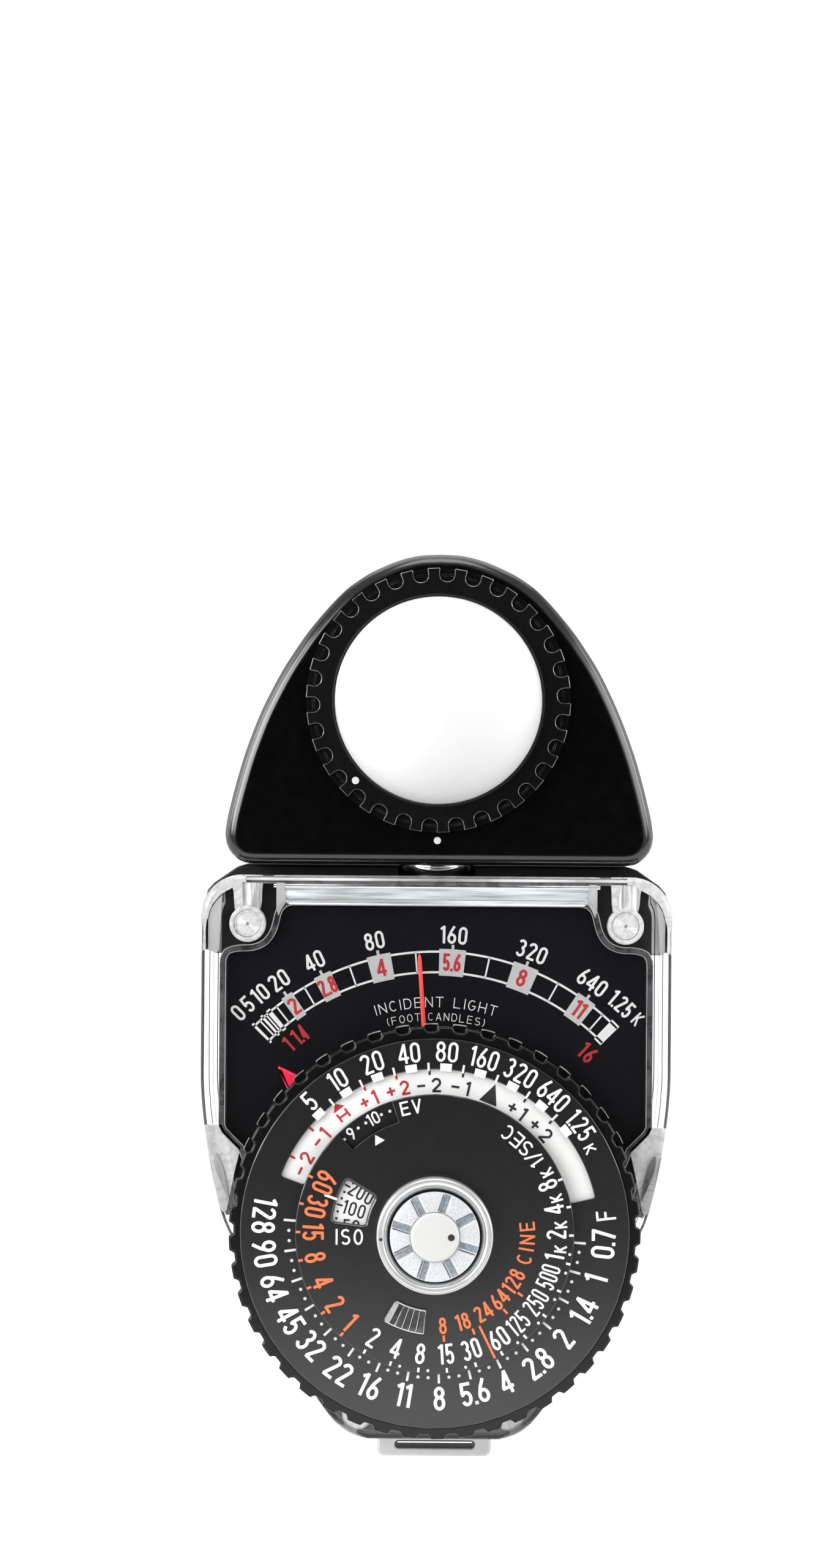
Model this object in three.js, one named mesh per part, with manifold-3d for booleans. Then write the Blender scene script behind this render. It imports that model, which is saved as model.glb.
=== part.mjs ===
// Analogue incident light meter with a swivelling head.
// Units: millimetres. +Z up, the front faces -Y, +X is to the right seen from the front.
// Origin: middle of the footprint, on the lowest face (under the strap lug).
// The numbers below count Z from the case's datum; the whole group is then lifted by LIFT so that the lug stands on Z = 0.
import * as THREE from 'three';
import { mergeVertices } from 'three/addons/utils/BufferGeometryUtils.js';
import Module from 'manifold-3d';

const wasm = await Module();
wasm.setup();

// ---------------------------------------------------------------- driving dimensions
const Y_BACK = 17.0;            // back face of the case
const Y_DOME = -17.0;           // tip of the diffuser dome
const LIFT = 1.6;               // datum to the underside of the strap lug
const CASE_TOP = 72.8;          // top of the rear cover
const COVER_TOP = 71.7;         // top of the clear front cover
const COVER_BOTTOM = 1.85;      // flat bottom of the case
const COVER_HALF = 29.2;        // half width of the clear front cover
const Y_COVER = -4.0;           // front face of the clear cover
const COVER_FRONT_WALL = 1.5;
const Y_COVER_REAR = 0.3;
const Y_FRAME = [0.6, 4.0];     // mid frame
const Y_REAR = [4.3, Y_BACK];   // rear cover
const REAR_WALL = 1.8;
const REAR_FLOOR = 2.0;

const HEAD_Z0 = 73.05;          // underside of the head
const HEAD_FRONT = -2.6, HEAD_SPLIT = 5.35, HEAD_BACK = 13.4;
const HEAD_WALL = 1.6;
const HEAD_EDGE = 1.5;          // edge rounding of the head
const CELL = [0, 93.5];         // centre of the diffuser and the cell
const SWIVEL = [0, 5.4];        // x, y of the swivel axis

const DIAL = [0, 27.8];         // centre of the calculator dial
const TEETH = 45, R_TEETH = 25.6, R_VALLEY = 25.0, TOOTH_PHASE = 3.93;
const R_PLATE = 24.0, R_PLATE_IN = 14.3;
const WINDOW_A = [12.9, 159.9], WINDOW_R = [17.15, 20.2];
const R_INDEX = 20.9;
const R_SHUTTER = 17.0;
const R_BEZEL = 7.15, R_BEZEL_IN = 5.75;
const R_KNOB = 5.5, R_CAP = 2.95;
const BUTTON_TRAVEL = 1.1;

const MOVE = [0, 30.4];         // centre of the moving-coil movement
const NEEDLE_R = 31.65, NEEDLE_ANGLE = 93.85;
const ZERO = [0, 37.6];         // zero adjuster screw, on the back
const POINTER_ANGLE = 133.98, POINTER_R = 28.12;

const RING_R = 16.4, DOME_R = 12.85, NOTCHES = 30;
const SCREW_TOP = [23.5, 65.6], SCREW_LOW = [9.4, 4.5];
const HEAD_SCREW = [17.5, 79.0];
const LUG = { half: 7.18, bottom: -LIFT, slotHalf: 5.03, slotZ: [-0.6, 0.35], y: [5.4, 9.4], top: 5.6 };

// ---------------------------------------------------------------- geometry helpers
const RAD = Math.PI / 180;
const pol = (c, r, a) => [c[0] + r * Math.cos(a * RAD), c[1] + r * Math.sin(a * RAD)];

function solid(geo) {
  const g = geo.clone();
  for (const k of Object.keys(g.attributes)) if (k !== 'position') g.deleteAttribute(k);
  g.clearGroups();
  const m = mergeVertices(g, 1e-5);
  const p = m.attributes.position.array, src = m.index.array;
  const tri = [];
  let vol = 0;
  for (let i = 0; i < src.length; i += 3) {
    const a = src[i], b = src[i + 1], c = src[i + 2];
    if (a === b || b === c || a === c) continue;
    tri.push(a, b, c);
    const [ax, ay, az, bx, by, bz, cx, cy, cz] = [p[3 * a], p[3 * a + 1], p[3 * a + 2], p[3 * b], p[3 * b + 1], p[3 * b + 2], p[3 * c], p[3 * c + 1], p[3 * c + 2]];
    vol += (ax * (by * cz - bz * cy) - ay * (bx * cz - bz * cx) + az * (bx * cy - by * cx)) / 6;
  }
  if (vol < 0) for (let i = 0; i < tri.length; i += 3) { const t = tri[i]; tri[i] = tri[i + 1]; tri[i + 1] = t; }
  return new wasm.Manifold(new wasm.Mesh({ numProp: 3, vertProperties: new Float32Array(p), triVerts: new Uint32Array(tri) }));
}

function geometryOf(man) {
  const mesh = man.getMesh();
  const g = new THREE.BufferGeometry();
  g.setAttribute('position', new THREE.BufferAttribute(new Float32Array(mesh.vertProperties), 3));
  g.setIndex(new THREE.BufferAttribute(new Uint32Array(mesh.triVerts), 1));
  g.computeVertexNormals();
  return g;
}

const join = (...list) => list.reduce((a, b) => a.add(b));
const cut = (a, ...list) => list.reduce((x, b) => x.subtract(b), a);

// flat outline in X,Z, extruded from y0 (front) to y1 (back)
function slab(points, y0, y1) {
  const s = new THREE.Shape(points.map(([x, z]) => new THREE.Vector2(x, z)));
  const g = new THREE.ExtrudeGeometry(s, { depth: y1 - y0, bevelEnabled: false, curveSegments: 1 });
  g.rotateX(Math.PI / 2);
  g.translate(0, y1, 0);
  return solid(g);
}

// outlines with the same number of points, stacked front to back
function loft(levels) {
  const n = levels[0].pts.length, pos = [], idx = [];
  for (const l of levels) for (const [x, z] of l.pts) pos.push(x, l.y, z);
  for (let k = 0; k + 1 < levels.length; k++) for (let i = 0; i < n; i++) {
    const j = (i + 1) % n, f = k * n, b = (k + 1) * n;
    idx.push(f + i, b + i, b + j, f + i, b + j, f + j);
  }
  const last = (levels.length - 1) * n;
  const face = (l) => THREE.ShapeUtils.triangulateShape(l.pts.map(([x, z]) => new THREE.Vector2(x, z)), []);
  for (const [a, b, c] of face(levels[0])) idx.push(a, b, c);
  for (const [a, b, c] of face(levels[levels.length - 1])) idx.push(last + a, last + c, last + b);
  const g = new THREE.BufferGeometry();
  g.setAttribute('position', new THREE.BufferAttribute(new Float32Array(pos), 3));
  g.setIndex(idx);
  return solid(g);
}

// counter-clockwise outline moved inwards by d
function inset(pts, d) {
  const n = pts.length;
  return pts.map((p, i) => {
    const a = pts[(i + n - 1) % n], b = pts[(i + 1) % n];
    const u = [p[0] - a[0], p[1] - a[1]], v = [b[0] - p[0], b[1] - p[1]];
    const lu = Math.hypot(...u), lv = Math.hypot(...v);
    const n1 = [-u[1] / lu, u[0] / lu], n2 = [-v[1] / lv, v[0] / lv];
    const k = 1 + n1[0] * n2[0] + n1[1] * n2[1];
    return [p[0] + d * (n1[0] + n2[0]) / k, p[1] + d * (n1[1] + n2[1]) / k];
  });
}

// outline with its front and back edges rounded
function rounded(pts, y0, y1, rFront, rBack, steps = 2) {
  const levels = [];
  if (rFront > 0) for (let i = 0; i < steps; i++) {
    const t = i / steps * Math.PI / 2;
    levels.push({ y: y0 + rFront * (1 - Math.cos(t)), pts: inset(pts, rFront * (1 - Math.sin(t))) });
  }
  levels.push({ y: y0 + rFront, pts });
  levels.push({ y: y1 - rBack, pts });
  if (rBack > 0) for (let i = steps - 1; i >= 0; i--) {
    const t = i / steps * Math.PI / 2;
    levels.push({ y: y1 - rBack * (1 - Math.cos(t)), pts: inset(pts, rBack * (1 - Math.sin(t))) });
  }
  return loft(levels);
}

const circle = (c, r, n = 32, a0 = 0) => Array.from({ length: n }, (_, i) => pol(c, r, a0 + 360 * i / n));
const discY = (c, r, y0, y1, n = 32) => slab(circle(c, r, n), y0, y1);

// ring sector between two radii and two angles
function sector(c, r0, r1, a0, a1, y0, y1, step = 4) {
  const n = Math.max(1, Math.round((a1 - a0) / step)), pts = [];
  for (let i = 0; i <= n; i++) pts.push(pol(c, r1, a0 + (a1 - a0) * i / n));
  for (let i = n; i >= 0; i--) pts.push(pol(c, r0, a0 + (a1 - a0) * i / n));
  return slab(pts, y0, y1);
}

// closed profile [radius, y] turned about a line along Y
function turnY(profile, c, n = 48) {
  const pts = profile.map(([r, y]) => new THREE.Vector2(r, y));
  if (profile[0][0] !== 0 || profile[profile.length - 1][0] !== 0) pts.push(pts[0].clone());
  const g = new THREE.LatheGeometry(pts, n);
  g.translate(c[0], 0, c[1]);
  return solid(g);
}

// closed profile [radius, z] turned about a line along Z
function turnZ(profile, c, n = 32) {
  const pts = profile.map(([r, z]) => new THREE.Vector2(r, z));
  if (profile[0][0] !== 0 || profile[profile.length - 1][0] !== 0) pts.push(pts[0].clone());
  const g = new THREE.LatheGeometry(pts, n);
  g.rotateX(Math.PI / 2);
  g.translate(c[0], c[1], 0);
  return solid(g);
}

function block(x0, x1, y0, y1, z0, z1) {
  const g = new THREE.BoxGeometry(x1 - x0, y1 - y0, z1 - z0);
  g.translate((x0 + x1) / 2, (y0 + y1) / 2, (z0 + z1) / 2);
  return solid(g);
}

function sweep(curve, radius, sides, steps) {
  const s = new THREE.Shape(Array.from({ length: sides }, (_, i) =>
    new THREE.Vector2(radius * Math.cos(2 * Math.PI * i / sides), radius * Math.sin(2 * Math.PI * i / sides))));
  return solid(new THREE.ExtrudeGeometry(s, { steps, bevelEnabled: false, extrudePath: curve }));
}

const mirrored = (right) => [...right, ...right.slice().reverse().filter(([x]) => x > 1e-6).map(([x, z]) => [-x, z])];

// ---------------------------------------------------------------- materials
const M = (color, roughness, metalness, extra = {}) => new THREE.MeshStandardMaterial({ color, roughness, metalness, ...extra });
const mat = {
  blackGloss: M(0x0b0b0d, 0.18, 0.0), blackSatin: M(0x151416, 0.45, 0.0), blackPlate: M(0x242326, 0.3, 0.1),
  clear: M(0xe8eef0, 0.05, 0.0, { transparent: true, opacity: 0.3 }), scaleBlack: M(0x0e0e12, 0.35, 0.0),
  white: M(0xf2f2ef, 0.5, 0.0), dome: M(0xfbfbf8, 0.45, 0.0), red: M(0xe01a38, 0.3, 0.0),
  chrome: M(0xd8dadc, 0.12, 1.0), steel: M(0x9da3a8, 0.35, 1.0), brass: M(0xb8964a, 0.35, 1.0),
  silver: M(0xa9b6bd, 0.4, 0.9), iron: M(0x6a6c70, 0.5, 0.9), copper: M(0xb5651d, 0.4, 0.8),
  board: M(0x1f5b38, 0.5, 0.0), cell: M(0x2a1a3a, 0.25, 0.3), grey: M(0x8a8a86, 0.6, 0.0), wire: M(0xa01818, 0.5, 0.0),
};

const root = new THREE.Group();
const head = new THREE.Group(), dial = new THREE.Group(), movement = new THREE.Group(), caseGroup = new THREE.Group();
root.add(caseGroup, movement, dial, head);
function piece(group, name, man, material) {
  const mesh = new THREE.Mesh(geometryOf(man), material);
  mesh.name = name;
  group.add(mesh);
}

// ---------------------------------------------------------------- case outlines
const lowArc = Array.from({ length: 5 }, (_, i) => pol(DIAL, 24.95, -50 + 46 * i / 4));
const coverOutline = mirrored([
  [0, COVER_BOTTOM], [8.2, COVER_BOTTOM], [10.2, 2.45], [11.9, 3.6], [13.5, 5.5], ...lowArc,
  [26.2, 28.8], [27.7, 34.6], [28.7, 40.6], [COVER_HALF, 45.5], [COVER_HALF, 66.9],
  [28.84, 68.74], [27.79, 70.29], [26.24, 71.34], [24.4, COVER_TOP], [0, COVER_TOP],
]);
const rearOutline = mirrored([
  [0, COVER_BOTTOM], [8.2, COVER_BOTTOM], [10.1, 2.5], [11.8, 3.7], [13.3, 5.6],
  ...Array.from({ length: 5 }, (_, i) => pol(DIAL, 24.7, -50 + 46 * i / 4)),
  [26.0, 28.9], [27.5, 34.7], [28.5, 40.7], [29.0, 45.5], [29.0, 68.6], [28.6, 70.1], [25.6, 72.2], [24.2, CASE_TOP], [0, CASE_TOP],
]);
const cavity = mirrored([
  [0, 5.6], [8.0, 5.8], ...Array.from({ length: 5 }, (_, i) => pol(DIAL, 22.2, -66 + 78 * i / 4)),
  [23.9, 37.9], [26.3, 40.3], [26.3, 60.9], [25.9, 61.9], [24.6, 62.3], [22.9, 62.4], [21.3, 63.1], [20.1, 64.6], [19.6, 66.4],
  [19.1, 67.6], [18.1, 68.1], [0, 68.1],
]);

// ---------------------------------------------------------------- case
{
  // clear front cover: shallow dish, open at the back
  let c = rounded(coverOutline, Y_COVER, Y_COVER_REAR, 0.8, 0);
  c = cut(c, slab(cavity, Y_COVER + COVER_FRONT_WALL, Y_COVER_REAR + 1), discY(DIAL, 4.4, Y_COVER - 1, 0, 24));
  for (const s of [-1, 1]) {
    c = cut(c, discY([s * SCREW_TOP[0], SCREW_TOP[1]], 1.05, -2.3, 2, 12), discY([s * SCREW_LOW[0], SCREW_LOW[1]], 1.05, -2.3, 2, 12),
      turnY([[0, Y_COVER - 0.5], [2.0, Y_COVER - 0.5], [1.5, Y_COVER + 0.6], [0, Y_COVER + 1.0]], [s * SCREW_TOP[0], SCREW_TOP[1]], 16));
  }
  piece(caseGroup, 'clear_front_cover', c, mat.clear);

  // rear cover: deep tray, open at the front
  let r = rounded(rearOutline, Y_REAR[0], Y_REAR[1], 0, 1.0);
  r = cut(r, slab(inset(rearOutline, REAR_WALL), Y_REAR[0] - 1, Y_REAR[1] - REAR_FLOOR));
  for (const s of [-1, 1]) {
    const column = (p, rad) => discY(p, rad, Y_REAR[0], Y_REAR[1] - REAR_FLOOR + 0.5, 14);
    r = join(r, column([s * SCREW_TOP[0], SCREW_TOP[1]], 2.6).intersect(slab(rearOutline, 0, 20)), column([s * SCREW_LOW[0], SCREW_LOW[1]], 1.9).intersect(slab(rearOutline, 0, 20)));
  }
  for (const s of [-1, 1]) for (const p of [SCREW_TOP, SCREW_LOW]) {
    r = cut(r, discY([s * p[0], p[1]], 1.1, 0, 18, 12), discY([s * p[0], p[1]], 1.75, Y_BACK - 1.3, 18, 14));
  }
  // swivel opening, strap lug slots, zero adjuster hole
  r = cut(r, turnZ([[0, 70], [5.0, 70], [5.0, 75], [0, 75]], SWIVEL, 24));
  r = cut(r, block(-LUG.half - 0.25, LUG.half + 0.25, LUG.y[0] - 0.25, LUG.y[1] + 0.25, 0, LUG.top + 0.3));
  r = cut(r, discY(ZERO, 1.4, 14, 18, 12), discY(ZERO, 2.6, Y_BACK - 1.1, 18, 18));
  piece(caseGroup, 'rear_cover', r, mat.blackSatin);

  // mid frame: carries the movement and the scale plate
  let f = slab(inset(coverOutline, 0.4), ...Y_FRAME);
  f = cut(f, discY(MOVE, 9.4, 0, 5, 28), block(-6.4, 6.4, 0, 5, 65.6, 75));
  for (const s of [-1, 1]) for (const p of [SCREW_TOP, SCREW_LOW]) f = cut(f, discY([s * p[0], p[1]], 1.2, 0, 5, 12));
  piece(caseGroup, 'mid_frame', f, mat.blackSatin);

  // scale plate
  let p = slab(inset(cavity, 0.3), -0.2, Y_COVER_REAR);
  p = cut(p, discY(MOVE, 1.8, -1, 1, 20));
  piece(caseGroup, 'scale_plate', p, mat.scaleBlack);

  // strap lug: plate with a round-ended slot, its upper part goes up into the case
  const { half: h, bottom: b, slotHalf: q, slotZ: [z0, z1], top: t } = LUG, m = (z0 + z1) / 2, e = (z1 - z0) / 2;
  let lug = slab([[-h + 0.8, b], [h - 0.8, b], [h - 0.2, b + 0.25], [h, b + 0.8], [h, t], [-h, t], [-h, b + 0.8], [-h + 0.2, b + 0.25]], ...LUG.y);
  const slotEnd = (s) => [-70, -35, 0, 35, 70].map((a) => [s * (q - e + e * Math.cos(a * RAD)), m + s * e * Math.sin(a * RAD)]);
  lug = cut(lug, slab([...slotEnd(1), ...slotEnd(-1)], LUG.y[0] - 1, LUG.y[1] + 1));
  const bore = (rad, x0, x1) => { const g = new THREE.CylinderGeometry(rad, rad, x1 - x0, 12); g.rotateZ(Math.PI / 2); g.translate((x0 + x1) / 2, 7.4, 3.6); return solid(g); };
  lug = cut(lug, bore(0.8, -9, 9));
  piece(caseGroup, 'strap_lug', lug, mat.steel);
  piece(caseGroup, 'strap_lug_pin', bore(0.6, -7.4, 7.4), mat.steel);

  // case screws, driven from the back into the cover bosses
  const names = { '-1t': 'case_screw_top_left', '1t': 'case_screw_top_right', '-1b': 'case_screw_bottom_left', '1b': 'case_screw_bottom_right' };
  for (const [k, q] of [['t', SCREW_TOP], ['b', SCREW_LOW]]) for (const s of [-1, 1]) {
    const c = [s * q[0], q[1]];
    let sc = turnY([[0, -1.8], [0.9, -1.2], [0.9, 15.75], [1.6, 15.75], [1.6, 16.7], [0, 16.7]], c, 10);
    sc = cut(sc, block(c[0] - 1.0, c[0] + 1.0, 16.2, 18, c[1] - 0.22, c[1] + 0.22), block(c[0] - 0.22, c[0] + 0.22, 16.2, 18, c[1] - 1.0, c[1] + 1.0));
    piece(caseGroup, names[s + k], sc, mat.steel);
  }
}

// ---------------------------------------------------------------- movement
{
  const c = MOVE;
  piece(movement, 'magnet_yoke', turnY([[9.6, 4.2], [12.6, 4.2], [12.6, 11.5], [9.6, 11.5]], c, 28), mat.iron);
  piece(movement, 'core_magnet', turnY([[0, 5.0], [6.2, 5.0], [6.2, 11.5], [0, 11.5]], c, 20), mat.steel);
  piece(movement, 'core_bracket', block(-2, 2, 11.6, 12.3, c[1] - 12.3, c[1] + 12.3), mat.brass);
  // moving coil: rectangular winding round the core
  let coil = cut(block(-8.4, 8.4, 3.6, 13.2, c[1] - 1.4, c[1] + 1.4), block(-7.2, 7.2, 4.5, 12.5, c[1] - 3, c[1] + 3));
  piece(movement, 'moving_coil', coil, mat.copper);
  piece(movement, 'pivot_front', turnY([[0, -0.35], [0.45, -0.35], [0.45, 3.1], [1.0, 3.1], [1.0, 3.55], [0, 3.55]], c, 12), mat.steel);
  piece(movement, 'pivot_rear', turnY([[0, 13.25], [1.0, 13.25], [1.0, 13.45], [0.4, 13.45], [0.12, 14.25], [0, 14.25]], c, 12), mat.steel);
  // needle with hub and counterweight
  const a = NEEDLE_ANGLE, w = (r, off) => { const q = pol(c, r, a); return [q[0] - off * Math.sin(a * RAD), q[1] + off * Math.cos(a * RAD)]; };
  let needle = slab([w(0, -0.35), w(NEEDLE_R - 0.5, -0.22), w(NEEDLE_R, -0.08), w(NEEDLE_R, 0.08), w(NEEDLE_R - 0.5, 0.22), w(0, 0.35), w(-3.2, 0.3), w(-3.4, 1.0), w(-4.6, 1.0), w(-4.6, -1.0), w(-3.4, -1.0), w(-3.2, -0.3)], -0.95, -0.62);
  needle = join(needle, discY(c, 1.2, -0.95, -0.4, 16));
  piece(movement, 'needle', needle, mat.red);
  // bridges and jewel screws
  let fb = join(slab([[-7.4, c[1] - 1.0], [7.4, c[1] - 1.0], [7.4, c[1] + 1.0], [-7.4, c[1] + 1.0]], -1.7, -1.3),
    discY([-6.4, c[1]], 0.85, -1.5, -0.25, 12), discY([6.4, c[1]], 0.85, -1.5, -0.25, 12));
  fb = cut(fb, discY(c, 0.9, -3, 0, 16));
  piece(movement, 'front_bridge', fb, mat.brass);
  piece(movement, 'jewel_screw_front', turnY([[0, -1.75], [0.75, -1.75], [0.75, -1.02], [0, -1.02]], c, 14), mat.steel);
  let rb = join(block(-11.2, 11.2, 14.3, 14.8, c[1] - 1.2, c[1] + 1.2), discY([-11.0, c[1]], 1.1, 11.7, 14.6, 12), discY([11.0, c[1]], 1.1, 11.7, 14.6, 12));
  rb = cut(rb, discY(c, 0.95, 13, 16, 16));
  piece(movement, 'rear_bridge', rb, mat.brass);
  piece(movement, 'jewel_screw_rear', turnY([[0, 14.32], [0.8, 14.32], [0.8, 14.95], [0, 14.95]], c, 14), mat.steel);
  // hairspring: flat spiral behind the coil
  class Spiral extends THREE.Curve { getPoint(t) { const an = t * 2 * Math.PI * 4, r = 1.4 + 3.0 * t; return new THREE.Vector3(c[0] + r * Math.cos(an), 13.82, c[1] + r * Math.sin(an)); } }
  piece(movement, 'hairspring', sweep(new Spiral(), 0.12, 4, 52), mat.brass);
  // zero adjuster: arm with a fork, and the slotted screw with its eccentric pin
  let arm = cut(join(discY(c, 2.6, 13.98, 14.2, 20), slab([[-0.9, c[1]], [0.9, c[1]], [1.1, 36.2], [1.1, 39.0], [-1.1, 39.0], [-1.1, 36.2]], 13.98, 14.2)),
    discY(c, 1.1, 13, 15, 16), block(-0.52, 0.52, 13, 15, 37.0, 39.6));
  piece(movement, 'zero_adjust_arm', arm, mat.brass);
  let zs = join(turnY([[0, 14.75], [1.2, 14.75], [1.2, 15.95], [2.35, 15.95], [2.35, 16.7], [2.1, 16.9], [0, 16.9]], ZERO, 20), discY([0, ZERO[1] + 0.7], 0.4, 13.9, 14.9, 10));
  zs = cut(zs, block(-2.6, 2.6, 16.4, 18, ZERO[1] - 0.3, ZERO[1] + 0.3));
  piece(movement, 'zero_adjust_screw', zs, mat.silver);
  // brake leaf under the lock button
  piece(movement, 'brake_leaf', join(block(-9.6, 2.0, -2.12, -1.92, 26.3, 27.6), block(-9.6, -8.6, -2.0, -0.25, 26.3, 27.6)), mat.steel);
  // circuit board, trimmer, leads
  piece(movement, 'circuit_board', cut(slab([[-15, 46], [15, 46], [15, 60], [9, 62], [-9, 62], [-15, 60]], 5.0, 6.2), discY([-12.5, 48.5], 1, 4, 7, 10), discY([12.5, 48.5], 1, 4, 7, 10)), mat.board);
  piece(movement, 'trim_resistor', cut(turnY([[0, 6.25], [3.0, 6.25], [3.0, 8.8], [2.6, 9.1], [0, 9.1]], [6, 53], 20), block(3.9, 8.1, 8.6, 10, 52.75, 53.25)), mat.grey);
  const lead = new THREE.CatmullRomCurve3([[-4, 6.9, 57.5], [-4.2, 8.4, 58.2], [-3.4, 9.2, 60], [-1.6, 8, 62.5], [-0.4, 6.2, 64.2], [0, 5.4, 65.4]].map((v) => new THREE.Vector3(...v)));
  piece(movement, 'body_lead', sweep(lead, 0.55, 5, 12), mat.wire);
}

// ---------------------------------------------------------------- swivel and head
{
  piece(caseGroup, 'swivel_bearing', cut(block(-6, 6, 0.9, 10.2, 67.9, 70.9), turnZ([[0, 66], [2.95, 66], [2.95, 73], [0, 73]], SWIVEL, 16)), mat.brass);
  piece(head, 'swivel_stem', turnZ([[1.6, 66.0], [2.8, 66.0], [2.8, 66.6], [2.4, 66.6], [2.4, 67.3], [2.8, 67.3], [2.8, 75.0], [5.0, 75.0], [5.0, 75.8], [2.8, 75.8], [2.8, 77.2], [1.6, 77.2]], SWIVEL, 16), mat.steel);
  piece(head, 'stem_collar', turnZ([[3.0, 71.4], [3.5, 71.4], [4.3, 71.85], [4.7, 72.6], [4.7, 73.0], [3.0, 73.0]], SWIVEL, 24), mat.chrome);
  piece(caseGroup, 'wave_washer', turnZ([[3.05, 67.4], [4.6, 67.4], [4.6, 67.7], [3.05, 67.7]], SWIVEL, 18), mat.steel);
  piece(head, 'retaining_clip', cut(turnZ([[2.5, 66.7], [4.3, 66.7], [4.3, 67.2], [2.5, 67.2]], SWIVEL, 18), block(-1.2, 1.2, 6.5, 11, 66, 68)), mat.steel);

  const headOutline = mirrored([
    [0, HEAD_Z0], [23.4, HEAD_Z0], [25.0, 73.6], [26.2, 74.8], [26.7, 76.2], [26.5, 78.15], [26.0, 80.3], [25.13, 84.0], [23.92, 88.04], [22.46, 92.06],
    [20.75, 95.9], [18.68, 99.5], [16.3, 103.05], [13.6, 106.2], [10.58, 108.8], [7.15, 110.65], [3.63, 111.5], [0, 111.7],
  ]);
  const stemHole = turnZ([[0, 70], [3.1, 70], [3.1, 75.0], [0, 75.0]], SWIVEL, 16);
  const inner = inset(headOutline, HEAD_WALL);
  let f = rounded(headOutline, HEAD_FRONT, HEAD_SPLIT - 0.1, HEAD_EDGE, 0);
  f = cut(f, slab(inner, HEAD_FRONT + HEAD_WALL, 8), discY(CELL, 15.35, -5, 0, 36), stemHole);
  f = join(f, ...[-1, 1].map((s) => discY([s * HEAD_SCREW[0], HEAD_SCREW[1]], 2.2, HEAD_FRONT + 1, HEAD_SPLIT - 0.1, 16)));
  f = cut(f, ...[-1, 1].map((s) => discY([s * HEAD_SCREW[0], HEAD_SCREW[1]], 1.05, 0.4, 8, 12)), block(-11, 11, 1.5, 2.7, 100, 115));
  piece(head, 'head_front_shell', f, mat.blackGloss);
  let b = rounded(headOutline, HEAD_SPLIT + 0.1, HEAD_BACK, 0, HEAD_EDGE);
  b = cut(b, slab(inner, 0, HEAD_BACK - HEAD_WALL), stemHole);
  b = join(b, ...[-1, 1].map((s) => discY([s * HEAD_SCREW[0], HEAD_SCREW[1]], 2.5, HEAD_SPLIT + 0.1, HEAD_BACK - 1, 16)));
  b = cut(b, ...[-1, 1].map((s) => discY([s * HEAD_SCREW[0], HEAD_SCREW[1]], 1.1, 4, 15, 12)), ...[-1, 1].map((s) => discY([s * HEAD_SCREW[0], HEAD_SCREW[1]], 1.95, HEAD_BACK - 1.2, 15, 18)));
  piece(head, 'head_rear_shell', b, mat.blackGloss);
  for (const s of [-1, 1]) {
    const c = [s * HEAD_SCREW[0], HEAD_SCREW[1]];
    const sc = cut(turnY([[0, 0.9], [0.9, 1.5], [0.9, 12.25], [1.75, 12.25], [1.75, 13.1], [0, 13.1]], c, 10),
      block(c[0] - 1.0, c[0] + 1.0, 12.7, 15, c[1] - 0.2, c[1] + 0.2), block(c[0] - 0.2, c[0] + 0.2, 12.7, 15, c[1] - 1.0, c[1] + 1.0));
    piece(head, s < 0 ? 'head_screw_left' : 'head_screw_right', sc, mat.steel);
  }

  // bayonet socket with three entry gaps, cell stack behind it
  let socket = turnY([[14.65, -0.9], [16.0, -0.9], [16.0, 1.2], [15.45, 1.2], [15.45, 0.1], [14.65, 0.1]], CELL, 30);
  for (let i = 0; i < 3; i++) socket = cut(socket, sector(CELL, 14, 15.45, 30 + 46 - 13 + 120 * i, 30 + 46 + 13 + 120 * i, -2, 0.6, 9));
  piece(head, 'bayonet_socket', socket, mat.blackSatin);
  piece(head, 'cell_mask', turnY([[10.5, 3.2], [15.8, 3.2], [15.8, 4.0], [10.5, 4.0]], CELL, 24), mat.blackSatin);
  piece(head, 'photocell', turnY([[0, 4.1], [15.0, 4.1], [15.0, 4.9], [0, 4.9]], CELL, 24), mat.cell);
  piece(head, 'cell_contact_ring', turnY([[11.6, 5.0], [14.6, 5.0], [14.6, 5.35], [11.6, 5.35]], CELL, 24), mat.brass);
  piece(head, 'cell_retainer', turnY([[8.5, 5.5], [14.4, 5.5], [14.4, 6.4], [8.5, 6.4]], CELL, 24), mat.blackSatin);
  const lead = new THREE.CatmullRomCurve3([[0, 5.4, 65.9], [0, 5.4, 70], [0, 5.5, 74], [0, 6.1, 77.0], [0, 7.5, 79.2], [0.3, 8.4, 81.5], [1, 8.6, 84.5], [2.5, 7.9, 87], [3.6, 6.6, 88.6], [4.2, 5.6, 89.6]].map((v) => new THREE.Vector3(...v)));
  piece(head, 'head_lead', sweep(lead, 0.55, 5, 18), mat.wire);

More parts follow.
